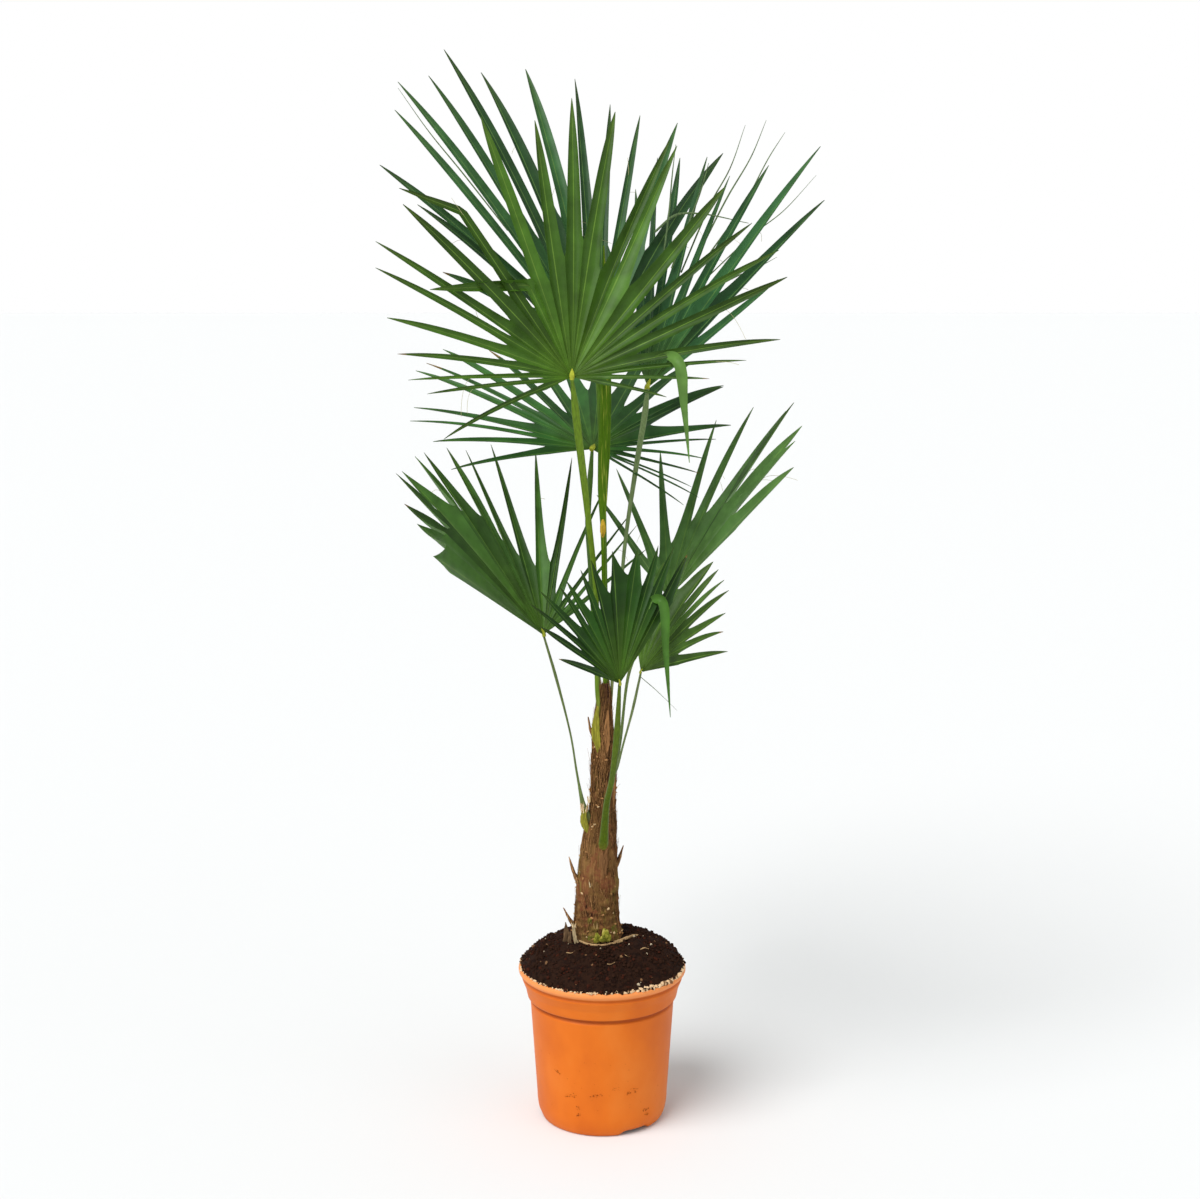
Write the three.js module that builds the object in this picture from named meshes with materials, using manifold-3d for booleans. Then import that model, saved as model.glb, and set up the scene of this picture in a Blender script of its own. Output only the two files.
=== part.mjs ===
// Potted windmill palm: a young fan palm about 1.5 m tall in an orange nursery pot.
// Millimetres, +Z up. The origin is the middle of the pot's flat underside, and the front is at -Y.
import * as THREE from 'three';
import { mergeVertices } from 'three/addons/utils/BufferGeometryUtils.js';
import Module from 'manifold-3d';

const wasm = await Module();
wasm.setup();

const CLEARANCE = 0.3; // between two pieces that touch on the real plant
const DOWN = new THREE.Vector3(0, 0, -1);

// The pot, 24 cm across its rim
const POT_RIM_RADIUS = 120;
const POT_HEIGHT = 224;
const POT_LIP_HEIGHT = 12;
const POT_COLLAR_HEIGHT = 31;
const POT_COLLAR_TOP_RADIUS = 116;
const POT_COLLAR_FOOT_RADIUS = 107;
const POT_BODY_TOP_RADIUS = 103;
const POT_BODY_FOOT_RADIUS = 94;
const POT_GROOVE = 2;
const POT_WALL = 2.6;
const POT_FOOT_RADIUS = 84;
const POT_FOOT_ROUND = 34;
const POT_SEGMENTS = 48;
const POT_FOOT_STEPS = 5;
const DRAIN_SLOTS = 3;
const DRAIN_SLOT_HEIGHT = 5;
const DRAIN_SLOT_WIDTH = 44;
const DRAIN_SLOT_TURN = -57;

// The soil, heaped above the rim round a level place under the trunk
const SOIL_TOP = 268;
const SOIL_LEVEL_RADIUS = 50;
const SOIL_HEAP = [[114, 231], [108, 240], [97, 250], [80, 259], [62, 265]]; // [radius, height]
const SOIL_HEAP_LEAN = 0.1; // to the right
const SOIL_SEGMENTS = 40;

// The trunk: [height, centre x, centre y, radius] from its cut at the soil to its tip
const TRUNK = [
  [SOIL_TOP + CLEARANCE, -7, 0, 37],
  [291, -8, 0, 33],
  [320, -7, 0, 30.5],
  [348, -7, 0, 29],
  [370, -6, 0, 27],
  [401, -4, 0, 24.5],
  [432, -2, 0, 22.5],
  [448, 0, 0, 19.5],
  [470, 1, 0, 18],
  [526, 2.5, 0, 18],
  [555, 2, 1, 16],
  [584, 1, 2, 13.5],
  [612, 3, 3, 10.5],
  [636, 4, 3, 6.5],
];
const TRUNK_SIDES = 18;

// Old leaf bases on the trunk: [turn, foot height, tip height, reach past the trunk, width]
const LEAF_BASES = [
  [-170, 352, 386, 17, 17],
  [8, 372, 399, 10, 14],
  [-176, 555, 590, 10, 11],
  [-162, 287, 313, 19, 19],
  [96, 330, 370, 12, 16],
  [58, 418, 452, 11, 14],
  [128, 498, 530, 10, 12],
];
const LEAF_BASE_ROOT = 6; // how deep its foot starts inside the trunk
const LEAF_BASE_DEPTHS = [9, 6, 2];
const BUD = { at: [-1, -43, 282], width: 20, height: 17, depth: 9 };

// The fan rule: how far each leaflet strays from an even fan, as shares or in degrees
const ANGLE_STRAY = 0.28;
const REACH_STRAY = 0.05;
const RUFFLE = 2;
const WAVE = 4;
const SAG_STRAY = 0.5;
const SWEEP = 0.035;
const TWIST = 22;
const SPLIT_STRAY = 0.07;
const TIP_TAPER = 8;
const NARROWING = 0.5;
const NARROWING_POWER = 0.45;
const BLADE_THICKNESS = 4;
const DRAWS_PER_LEAFLET = 7;
const UNBENT = { place: 1, turn: 0, lift: 0 };
const UNITED_ROWS = 2;
const FREE_ROWS = 4;

// Stems are flattened: their thickness is a share of their width
const PETIOLE_THICKNESS = 0.7;
const STEM_ROWS = 10;
const STEM_SIDES = 7;

// The youngest leaf, still folded into a spear between the upper fans
const SPEAR = {
  line: [[4, 3, 625], [3, 1, 700], [1, 0, 857], [1, 6, 907], [5, 14, 1031], [4, 18, 1150], [2, 22, 1240]],
  widths: [6, 5, 5, 11, 17, 15, 9, 2],
  thickness: 0.6,
};

// The fans. hub: the blade's foot, where its petiole ends. lean, rise and roll: the compass turn and
// slope of its axis, and its turn about it. from and to: the first and last leaflet's angle off the
// axis. reach: leaflet lengths round the fan. split: their united shares, round the fan. fold: their V.
// sag: how far tips fall. cup: how far the sides fold up. narrowing: how much its leaflets narrow
// where they part. short: shortened leaflets. bends: leaflets whose rib turns aside and lifts past a
// place along it. hanging: a torn leaflet that hangs from a place along another one's rib. stem and
// widths: the petiole's.
const FRONDS = {
  upper_front: {
    hub: [-40, -105, 1069], lean: 101, rise: 78, roll: 2, from: -109, to: 104,
    count: 24, seed: 776, reach: [210, 265, 335, 360, 345, 325, 135],
    split: [0.2, 0.35, 0.43, 0.36, 0.2], fold: 29, sag: 0.04, cup: 17,
    short: { 9: 0.75 },
    bends: { 8: { place: 0.74, turn: -38, lift: 6 }, 9: { place: 0.5, turn: -70, lift: 12 } },
    hanging: { leaflet: 20, place: 0.46, out: 16, drop: 150, width: 17 },
    stem: [[-3, -6, 585], [-7, -12, 629], [-8, -30, 761], [-19, -55, 878], [-33, -88, 1003]],
    widths: [7, 6, 6, 7, 8, 10, 11, 2], color: '#4f7d2c', stemColor: '#6d8f3a',
  },
  upper_back: {
    hub: [-6, 62, 1084], lean: 117, rise: 71, roll: 2, from: -61, to: 35,
    count: 14, seed: 394, reach: [275, 440, 455, 480, 435, 430],
    split: [0.35, 0.42, 0.42, 0.4], fold: 29, sag: 0.095, cup: 15,
    stem: [[6, 10, 590], [7, 16, 650], [4, 28, 780], [0, 38, 940], [-4, 46, 1050]],
    widths: [7, 6, 6, 8, 9, 10, 2], color: '#2f6b3f', stemColor: '#5c7d35',
  },
  upper_right: {
    hub: [66, 150, 1041], lean: 62, rise: 70, roll: -14, from: -25, to: 57,
    count: 10, seed: 334, reach: [290, 335, 360, 325, 455, 270],
    split: [0.4, 0.42, 0.4, 0.35], fold: 29, sag: 0.01, cup: 16,
    stem: [[12, 2, 590], [15, 10, 650], [25, 28, 750], [33, 46, 834], [48, 62, 935], [61, 108, 1006]],
    widths: [6, 5, 5, 5, 6, 8, 9, 2], color: '#2a6245', stemColor: '#7b9a62',
  },
  middle_back: {
    hub: [-14, 95, 957], lean: 82, rise: 26, roll: 11, from: -114, to: 119,
    count: 22, seed: 207, reach: [210, 285, 350, 390, 260, 150, 170],
    split: [0.3, 0.3, 0.35, 0.4, 0.35, 0.2, 0.15], fold: 29, sag: 0.04, cup: 0,
    stem: [[0, 6, 590], [-6, 12, 653], [-14, 30, 750], [-17, 45, 804], [-20, 62, 859], [-17, 82, 914]],
    widths: [6, 6, 6, 7, 8, 8, 8, 2], color: '#1f5a35', stemColor: '#4d7032',
  },
  left: {
    hub: [-83, 32, 700], lean: 159, rise: 58, roll: -14, from: -59, to: 79,
    count: 16, seed: 192, reach: [325, 320, 315, 320, 310, 275, 205],
    split: [0.86, 0.76, 0.6, 0.48, 0.32, 0.22, 0.25], fold: 29, sag: 0.03, cup: 40, narrowing: 0.7,
    stem: [[-14, -8, 425], [-24, -11, 452], [-29, -9, 473], [-36, -6, 511], [-44, 1, 560], [-63, 13, 635]],
    widths: [17, 14, 8, 5, 4, 4, 6, 2], color: '#3a6f2f', stemColor: '#6a7f4a',
  },
  right: {
    hub: [96, 110, 740], lean: 51, rise: 58, roll: -8, from: -46, to: 53,
    count: 10, seed: 671, reach: [235, 275, 350, 330, 320, 290],
    split: [0.3, 0.3, 0.35, 0.48, 0.55, 0.55, 0.5], fold: 29, sag: 0.045, cup: 35, narrowing: 0.6,
    stem: [[8, 8, 470], [17, 20, 499], [26, 38, 545], [39, 68, 638], [58, 85, 682]],
    widths: [9, 7, 5, 4, 5, 7, 2], color: '#3c7040', stemColor: '#7a9440',
  },
  lower_front: {
    hub: [23, -152, 669], lean: 112, rise: 77, roll: 16, from: -68, to: 37,
    count: 13, seed: 113, reach: [130, 185, 150, 170, 185, 215],
    split: [0.45, 0.5, 0.55, 0.65, 0.75, 0.75, 0.6], fold: 30, sag: 0.025, cup: 16,
    hanging: { leaflet: 11, place: 0.6, out: 14, drop: 160, width: 13 },
    stem: [[0, -18, 395], [2, -31, 415], [4, -55, 454], [7, -80, 490], [13, -105, 525], [19, -132, 587]],
    widths: [15, 14, 11, 9, 8, 8, 9, 2], color: '#24551f', stemColor: '#7e9a3c',
  },
  lower_right: {
    hub: [53, -64, 666], lean: 50, rise: 58, roll: -5, from: -24, to: 75,
    count: 10, seed: 420, reach: [195, 180, 178, 172, 162, 165],
    split: [0.65, 0.65, 0.6, 0.55, 0.5, 0.5], fold: 30, sag: 0.07, cup: 14,
    stem: [[8, -8, 495], [19, -25, 518], [31, -46, 567], [42, -56, 612]],
    widths: [9, 7, 4, 4, 6, 2], color: '#3f7a35', stemColor: '#8aa04a',
  },
};

const radians = THREE.MathUtils.degToRad;

// Park and Miller's generator, as numbers from -1 to 1
function strays(seed) {
  let state = seed;
  return () => {
    state = (state * 48271) % 2147483647;
    return (state / 2147483647) * 2 - 1;
  };
}

// Straight lines between evenly spaced values
function between(values, share) {
  const place = share * (values.length - 1);
  const first = Math.min(Math.floor(place), values.length - 2);
  return THREE.MathUtils.lerp(values[first], values[first + 1], place - first);
}

function sum(...terms) {
  const total = new THREE.Vector3();
  for (const [vector, factor] of terms) total.addScaledVector(vector, factor);
  return total;
}

// A closed skin over rings of points that follow each other, with a flat cap at both ends
function skin(rings) {
  const sides = rings[0].length;
  const last = rings.length - 1;
  const positions = rings.flat().flatMap((point) => point.toArray());
  const triangles = [];
  for (let row = 0; row < last; row += 1) {
    for (let side = 0; side < sides; side += 1) {
      const next = (side + 1) % sides;
      const [a, b, c, d] = [[row, side], [row, next], [row + 1, next], [row + 1, side]]
        .map(([r, s]) => r * sides + s);
      triangles.push(a, b, c, a, c, d);
    }
  }
  for (let side = 1; side < sides - 1; side += 1) {
    triangles.push(0, side + 1, side);
    triangles.push(last * sides, last * sides + side, last * sides + side + 1);
  }
  return new THREE.BufferGeometry()
    .setAttribute('position', new THREE.Float32BufferAttribute(positions, 3))
    .setIndex(triangles);
}

// A tapering limb along a smooth line: elliptical rings, wide across the way that `face` points
function limb({ line, widths, depths, face, rows, sides }) {
  const curve = new THREE.CatmullRomCurve3(line.map((point) => new THREE.Vector3(...point)));
  const rings = [];
  for (let row = 0; row <= rows; row += 1) {
    const along = curve.getTangent(row / rows);
    const across = along.clone().cross(face).normalize();
    const out = across.clone().cross(along);
    const ring = [];
    for (let side = 0; side < sides; side += 1) {
      const turn = (-2 * Math.PI * side) / sides;
      ring.push(sum(
        [curve.getPoint(row / rows), 1],
        [across, (Math.cos(turn) * between(widths, row / rows)) / 2],
        [out, (Math.sin(turn) * between(depths, row / rows)) / 2],
      ));
    }
    rings.push(ring);
  }
  return skin(rings);
}

function solid(geometry) {
  const bare = geometry.clone();
  bare.deleteAttribute('normal');
  bare.deleteAttribute('uv');
  const merged = mergeVertices(bare);
  return new wasm.Manifold(new wasm.Mesh({
    numProp: 3,
    vertProperties: new Float32Array(merged.getAttribute('position').array),
    triVerts: new Uint32Array(merged.index.array),
  }));
}

function geometryOf(manifold) {
  const { vertProperties, triVerts } = manifold.getMesh();
  return new THREE.BufferGeometry()
    .setAttribute('position', new THREE.BufferAttribute(vertProperties, 3))
    .setIndex(new THREE.BufferAttribute(triVerts, 1));
}

const cut = (geometry, ...cutters) => geometryOf(
  cutters.reduce((rest, cutter) => rest.subtract(solid(cutter)), solid(geometry)),
);

// A profile of [radius, height] points turned about the vertical axis
const turned = (profile, segments) => new THREE.LatheGeometry(
  profile.map(([radius, height]) => new THREE.Vector2(radius, height)), segments,
).rotateX(Math.PI / 2);

// A rounded edge as [radius, height] points, from the flat underside up into the wall
function roundedFoot(flatRadius, wallRadius, floorHeight) {
  return Array.from({ length: POT_FOOT_STEPS + 1 }, (_, step) => {
    const turn = (Math.PI / 2) * (step / POT_FOOT_STEPS);
    return [
      THREE.MathUtils.lerp(flatRadius, wallRadius, Math.sin(turn)),
      THREE.MathUtils.lerp(floorHeight, POT_FOOT_ROUND, 1 - Math.cos(turn)),
    ];
  });
}

const COLLAR_TOP = POT_HEIGHT - POT_LIP_HEIGHT - POT_GROOVE;
const COLLAR_FOOT = COLLAR_TOP - POT_COLLAR_HEIGHT;

// The pot's inside as [radius, height] points, `off` millimetres in from it, from its floor to its rim
function potInside(off) {
  const inner = POT_WALL + off;
  return [
    ...roundedFoot(POT_FOOT_RADIUS - inner, POT_BODY_FOOT_RADIUS - inner, inner),
    [POT_BODY_TOP_RADIUS - POT_GROOVE / 2 - inner, COLLAR_FOOT - POT_GROOVE],
    [POT_COLLAR_TOP_RADIUS - POT_GROOVE - inner, COLLAR_TOP],
    [POT_RIM_RADIUS - POT_GROOVE - inner, POT_HEIGHT],
  ];
}

function potGeometry() {
  const outside = [
    ...roundedFoot(POT_FOOT_RADIUS, POT_BODY_FOOT_RADIUS, 0),
    [POT_BODY_TOP_RADIUS, COLLAR_FOOT - 2 * POT_GROOVE],
    [POT_BODY_TOP_RADIUS - POT_GROOVE / 2, COLLAR_FOOT - POT_GROOVE],
    [POT_COLLAR_FOOT_RADIUS, COLLAR_FOOT],
    [POT_COLLAR_TOP_RADIUS, COLLAR_TOP],
    [POT_COLLAR_TOP_RADIUS - POT_GROOVE / 2, COLLAR_TOP + POT_GROOVE / 2],
    [POT_RIM_RADIUS - POT_GROOVE, COLLAR_TOP + 2 * POT_GROOVE],
    [POT_RIM_RADIUS, COLLAR_TOP + 4 * POT_GROOVE],
    [POT_RIM_RADIUS, POT_HEIGHT - POT_GROOVE],
    [POT_RIM_RADIUS - POT_GROOVE, POT_HEIGHT],
  ];
  const wall = [[0, 0], ...outside, ...potInside(0).reverse(), [0, POT_WALL]];
  const slots = Array.from({ length: DRAIN_SLOTS }, (_, slot) => new THREE.BoxGeometry(
    POT_BODY_FOOT_RADIUS - POT_FOOT_RADIUS + 2 * POT_WALL, DRAIN_SLOT_WIDTH, 2 * DRAIN_SLOT_HEIGHT,
  ).translate(POT_FOOT_RADIUS + POT_WALL, 0, 0)
    .rotateZ(radians(DRAIN_SLOT_TURN) + (2 * Math.PI * slot) / DRAIN_SLOTS));
  return cut(turned(wall, POT_SEGMENTS), ...slots);
}

function soilGeometry() {
  const inside = potInside(CLEARANCE);
  const heap = [
    [inside.at(-1)[0], POT_HEIGHT + CLEARANCE],
    [POT_RIM_RADIUS - POT_GROOVE, POT_HEIGHT + CLEARANCE],
    ...SOIL_HEAP,
    [SOIL_LEVEL_RADIUS, SOIL_TOP],
    [0, SOIL_TOP],
  ];
  const soil = turned([[0, POT_WALL + CLEARANCE], ...inside, ...heap], SOIL_SEGMENTS);
  const places = soil.getAttribute('position');
  for (let index = 0; index < places.count; index += 1) {
    const raised = Math.max(0, places.getZ(index) - POT_HEIGHT - CLEARANCE);
    places.setX(index, places.getX(index) + SOIL_HEAP_LEAN * raised);
  }
  return soil;
}

// The trunk's skin, `grown` millimetres fatter and longer when it serves as a cutter
function trunkGeometry(grown = 0) {
  const rings = TRUNK.map(([height, x, y, radius], row) => {
    const end = row === 0 ? -grown : Number(row === TRUNK.length - 1) * grown;
    return Array.from({ length: TRUNK_SIDES }, (_, side) => {
      const turn = (2 * Math.PI * side) / TRUNK_SIDES;
      return new THREE.Vector3(
        x + (radius + grown) * Math.cos(turn), y + (radius + grown) * Math.sin(turn), height + end,
      );
    });
  });
  return skin(rings);
}

function trunkAt(height) {
  const above = Math.max(1, TRUNK.findIndex(([level]) => level >= height));
  const [low, high] = [TRUNK[above - 1], TRUNK[above]];
  const share = (height - low[0]) / (high[0] - low[0]);
  const [x, y, radius] = [1, 2, 3].map((item) => THREE.MathUtils.lerp(low[item], high[item], share));
  return { x, y, radius };
}

// What is left of an old leaf on the trunk: a flat tongue that stands off it, ending in a point
function leafBaseGeometry([turn, foot, tip, reach, width]) {
  const way = new THREE.Vector3(Math.cos(radians(turn)), Math.sin(radians(turn)), 0);
  const at = (height, off) => {
    const { x, y, radius } = trunkAt(height);
    return [x + way.x * (radius + off), y + way.y * (radius + off), height];
  };
  const rise = tip - foot;
  const tongue = limb({
    line: [at(foot - rise / 3, -LEAF_BASE_ROOT), at(foot + rise / 4, reach / 3), at(tip, reach)],
    widths: [width, width, width / 5],
    depths: LEAF_BASE_DEPTHS,
    face: way,
    rows: 4,
    sides: 8,
  });
  return cut(tongue, trunkGeometry(CLEARANCE), soilGeometry().translate(0, 0, CLEARANCE));
}

// A young side bud at the trunk's foot
function budGeometry() {
  const bud = new THREE.SphereGeometry(0.5, 14, 8)
    .scale(BUD.width, BUD.depth * 2, BUD.height)
    .translate(...BUD.at);
  return cut(bud, trunkGeometry(CLEARANCE), soilGeometry().translate(0, 0, CLEARANCE));
}

// A petiole or the folded spear leaf: a limb that starts inside the trunk and is cut clear of it
function stemGeometry({ line, widths, thickness }) {
  const stem = limb({
    line,
    widths,
    depths: widths.map((width) => width * thickness),
    face: new THREE.Vector3(0, -1, 0),
    rows: STEM_ROWS,
    sides: STEM_SIDES,
  });
  return cut(stem, trunkGeometry(CLEARANCE));
}

// A petiole as long as its fan lets it be: it is drawn back from the hub until it is clear of the blade
function petioleGeometry(frond, fan) {
  const hub = new THREE.Vector3(...frond.hub);
  const way = hub.clone().sub(new THREE.Vector3(...frond.stem.at(-1))).normalize();
  const blade = solid(fan);
  for (let drawn = 0; ; drawn += CLEARANCE / 4) {
    const line = [...frond.stem, sum([hub, 1], [way, -drawn]).toArray()];
    const petiole = stemGeometry({ line, widths: frond.widths, thickness: PETIOLE_THICKNESS });
    if (blade.minGap(solid(petiole), 2 * CLEARANCE) >= CLEARANCE) return petiole;
  }
}

// The leaflets of a fan, by the fan rule
function leafletsOf(frond) {
  const [lean, rise, roll] = [frond.lean, frond.rise, frond.roll].map(radians);
  const axis = new THREE.Vector3(
    Math.cos(rise) * Math.cos(lean), Math.cos(rise) * Math.sin(lean), Math.sin(rise),
  );
  const upper = new THREE.Vector3(
    -Math.sin(rise) * Math.cos(lean), -Math.sin(rise) * Math.sin(lean), Math.cos(rise),
  );
  const face = sum([upper, Math.cos(roll)], [axis.clone().cross(upper), Math.sin(roll)]);
  const side = axis.clone().cross(face);
  const step = (frond.to - frond.from) / (frond.count - 1);
  const stray = strays(frond.seed);
  return Array.from({ length: frond.count }, (_, number) => {
    const draws = Array.from({ length: DRAWS_PER_LEAFLET }, stray);
    const share = number / (frond.count - 1);
    const angle = radians(frond.from + step * (number + ANGLE_STRAY * draws[0]));
    const shortened = frond.short?.[number] ?? 1;
    const reach = between(frond.reach, share) * (1 + REACH_STRAY * draws[1]) * shortened;
    const waves = WAVE * Math.sin(3 * angle + frond.seed) + RUFFLE * draws[2];
    const lift = radians(frond.cup * (1 - Math.cos(angle)) + waves);
    const flat = sum([axis, Math.cos(angle)], [side, Math.sin(angle)]);
    const way = sum([flat, Math.cos(lift)], [face, Math.sin(lift)]);
    return {
      reach,
      way,
      upper: sum([flat, -Math.sin(lift)], [face, Math.cos(lift)]),
      across: sum([axis, -Math.sin(angle)], [side, Math.cos(angle)]),
      fall: sum([DOWN, 1], [way, -DOWN.dot(way)]),
      sag: frond.sag * (1 + SAG_STRAY * draws[3]),
      sweep: SWEEP * draws[4],
      twist: radians(TWIST) * draws[5],
      split: between(frond.split, share) + SPLIT_STRAY * draws[6],
      bend: frond.bends?.[number] ?? UNBENT,
    };
  });
}

// The point of a leaflet's rib at a distance from the hub along it. Past a bend, the rib turns aside
function ribPoint(hub, leaflet, distance) {
  const place = distance / leaflet.reach;
  const past = Math.max(0, distance - leaflet.reach * leaflet.bend.place);
  const turn = radians(leaflet.bend.turn);
  return sum(
    [hub, 1],
    [leaflet.way, distance - past * (1 - Math.cos(turn))],
    [leaflet.fall, leaflet.reach * leaflet.sag * place ** 3],
    [leaflet.across, leaflet.reach * leaflet.sweep * place ** 2 + past * Math.sin(turn)],
    [leaflet.upper, past * Math.tan(radians(leaflet.bend.lift))],
  );
}

// The same point with the directions across the leaflet and out of its upper face
function ribFrame(hub, leaflet, distance) {
  const ahead = ribPoint(hub, leaflet, distance + 1);
  const behind = ribPoint(hub, leaflet, Math.max(distance - 1, 0));
  const along = ahead.sub(behind).normalize();
  const across = along.clone().cross(leaflet.upper).normalize();
  return { point: ribPoint(hub, leaflet, distance), across, out: across.clone().cross(along) };
}

// A fan as one closed skin: pleated and united near the hub, then V-folded leaflets that end in points
function fanGeometry(frond) {
  const hub = new THREE.Vector3(...frond.hub);
  const leaflets = leafletsOf(frond);
  const last = leaflets.length;
  const fold = radians(frond.fold);
  const narrowing = frond.narrowing ?? NARROWING;
  const halfStep = radians((frond.to - frond.from) / (last - 1)) / 2;
  const positions = [];
  const triangles = [];
  const put = (point) => positions.push(...point.toArray()) / 3 - 1;
  const pair = (point, out) => [BLADE_THICKNESS / 2, -BLADE_THICKNESS / 2]
    .map((half) => put(sum([point, 1], [out, half])));
  const quad = (a, b, c, d) => {
    if (a !== b && b !== c) triangles.push(a, b, c);
    if (a !== d && c !== d) triangles.push(a, c, d);
  };

  const splits = Array.from({ length: last + 1 }, (_, edge) => {
    const first = leaflets[THREE.MathUtils.clamp(edge - 1, 0, last - 2)];
    const second = leaflets[THREE.MathUtils.clamp(edge, 1, last - 1)];
    return ((first.reach + second.reach) / 2) * first.split;
  });
  const middle = ribFrame(hub, leaflets[Math.floor(last / 2)], 0);
  const hubPair = pair(hub, middle.out);

  // The ridges between leaflets, and the blade's two outer edges
  const halves = [];
  const ridges = splits.map((split, edge) => Array.from({ length: UNITED_ROWS + 1 }, (_, row) => {
    if (row === 0) return hubPair;
    const distance = (split * row) / UNITED_ROWS;
    if (edge > 0 && edge < last) {
      const left = ribFrame(hub, leaflets[edge - 1], distance);
      const right = ribFrame(hub, leaflets[edge], distance);
      const out = left.out.clone().add(right.out).normalize();
      const half = left.point.distanceTo(right.point) / 2;
      halves[edge] = half;
      const point = sum([left.point, 0.5], [right.point, 0.5], [out, half * Math.tan(fold)]);
      return pair(point, out);
    }
    const { point, across, out } = ribFrame(hub, leaflets[edge === 0 ? 0 : last - 1], distance);
    const half = distance * Math.tan(halfStep);
    const sign = edge === 0 ? -1 : 1;
    halves[edge] = half;
    return pair(sum([point, 1], [across, sign * half], [out, half * Math.tan(fold)]), out);
  }));

  leaflets.forEach((leaflet, number) => {
    const [leftRidge, rightRidge] = [ridges[number], ridges[number + 1]];
    const split = (splits[number] + splits[number + 1]) / 2;
    const width = (halves[number] + halves[number + 1]) / 2 / Math.cos(fold);

    // United part
    const ribs = Array.from({ length: UNITED_ROWS + 1 }, (_, row) => {
      if (row === 0) return hubPair;
      const { point, out } = ribFrame(hub, leaflet, (split * row) / UNITED_ROWS);
      return pair(point, out);
    });
    for (let row = 0; row < UNITED_ROWS; row += 1) {
      const [left, rib, right] = [leftRidge, ribs, rightRidge].map((line) => [line[row], line[row + 1]]);
      quad(left[0][0], rib[0][0], rib[1][0], left[1][0]);
      quad(rib[0][0], right[0][0], right[1][0], rib[1][0]);
      quad(rib[0][1], left[0][1], left[1][1], rib[1][1]);
      quad(right[0][1], rib[0][1], rib[1][1], right[1][1]);
      if (number === 0) quad(left[0][1], left[0][0], left[1][0], left[1][1]);
      if (number === last - 1) quad(right[0][0], right[0][1], right[1][1], right[1][0]);
    }

    // Free part, whose edges are sharp
    const edgePoint = (sign, start, row) => {
      const share = row / FREE_ROWS;
      const distance = THREE.MathUtils.lerp(start.split, leaflet.reach, share);
      const { point, across, out } = ribFrame(hub, leaflet, distance);
      const twist = leaflet.twist * share;
      const taper = 1 - share ** (TIP_TAPER * (1 - leaflet.split));
      const half = width * taper * (1 - narrowing * share ** NARROWING_POWER);
      const acrossTwisted = sum([across, Math.cos(twist)], [out, Math.sin(twist)]);
      const outTwisted = sum([across, -Math.sin(twist)], [out, Math.cos(twist)]);
      return sum(
        [point, 1],
        [acrossTwisted, sign * half * Math.cos(fold)],
        [outTwisted, half * Math.sin(fold)],
      );
    };
    const starts = [
      { sign: -1, split: splits[number], ridge: leftRidge[UNITED_ROWS] },
      { sign: 1, split: splits[number + 1], ridge: rightRidge[UNITED_ROWS] },
    ];
    const tip = put(ribPoint(hub, leaflet, leaflet.reach));
    const edges = starts.map((start) => {
      const [above, below] = start.ridge
        .map((index) => new THREE.Vector3().fromArray(positions, index * 3));
      const away = sum([above, 0.5], [below, 0.5], [edgePoint(start.sign, start, 0), -1]);
      return Array.from({ length: FREE_ROWS + 1 }, (_, row) => {
        if (row === 0) return start.ridge;
        if (row === FREE_ROWS) return [tip, tip];
        const fade = (1 - row / FREE_ROWS) ** 3;
        const index = put(sum([edgePoint(start.sign, start, row), 1], [away, fade]));
        return [index, index];
      });
    });
    const freeRibs = Array.from({ length: FREE_ROWS + 1 }, (_, row) => {
      if (row === 0) return ribs[UNITED_ROWS];
      if (row === FREE_ROWS) return [tip, tip];
      const share = row / FREE_ROWS;
      const distance = THREE.MathUtils.lerp(split, leaflet.reach, share);
      const { point, across, out } = ribFrame(hub, leaflet, distance);
      const twist = leaflet.twist * share;
      return pair(point, sum([across, -Math.sin(twist)], [out, Math.cos(twist)]));
    });
    for (let row = 0; row < FREE_ROWS; row += 1) {
      const [left, rib, right] = [edges[0], freeRibs, edges[1]].map((line) => [line[row], line[row + 1]]);
      quad(left[0][0], rib[0][0], rib[1][0], left[1][0]);
      quad(rib[0][0], right[0][0], right[1][0], rib[1][0]);
      quad(rib[0][1], left[0][1], left[1][1], rib[1][1]);
      quad(right[0][1], rib[0][1], rib[1][1], right[1][1]);
    }
    triangles.push(leftRidge[UNITED_ROWS][1], leftRidge[UNITED_ROWS][0], edges[0][1][0]);
    triangles.push(rightRidge[UNITED_ROWS][0], rightRidge[UNITED_ROWS][1], edges[1][1][0]);
  });
  return new THREE.BufferGeometry()
    .setAttribute('position', new THREE.Float32BufferAttribute(positions, 3))
    .setIndex(triangles);
}

// A torn leaflet that hangs from a fan: a ribbon sunk into the blade, over a kink and down to a point
function hangingGeometry(frond) {
  const { leaflet, place, out, drop, width } = frond.hanging;
  const carrier = leafletsOf(frond)[leaflet];
  const hub = new THREE.Vector3(...frond.hub);
  const root = ribPoint(hub, carrier, carrier.reach * place - out);
  const kink = ribPoint(hub, carrier, carrier.reach * place);
  const at = (ahead, down) => sum([kink, 1], [carrier.way, ahead], [carrier.upper, ahead], [DOWN, down]);
  const line = [root, kink, at(out, out), at(1.5 * out, drop / 2), at(2 * out, drop)];
  return limb({
    line: line.map((point) => point.toArray()),
    widths: [width / 3, width / 2, width, width, width / 2, 1],
    depths: [BLADE_THICKNESS, BLADE_THICKNESS, BLADE_THICKNESS, BLADE_THICKNESS, 1],
    face: new THREE.Vector3(0, -1, 0),
    rows: 7,
    sides: 6,
  });
}

const group = new THREE.Group();

function add(name, geometry, color, roughness = 0.6) {
  const mesh = new THREE.Mesh(geometry, new THREE.MeshStandardMaterial({ color, roughness, metalness: 0 }));
  mesh.name = name;
  group.add(mesh);
}

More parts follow.
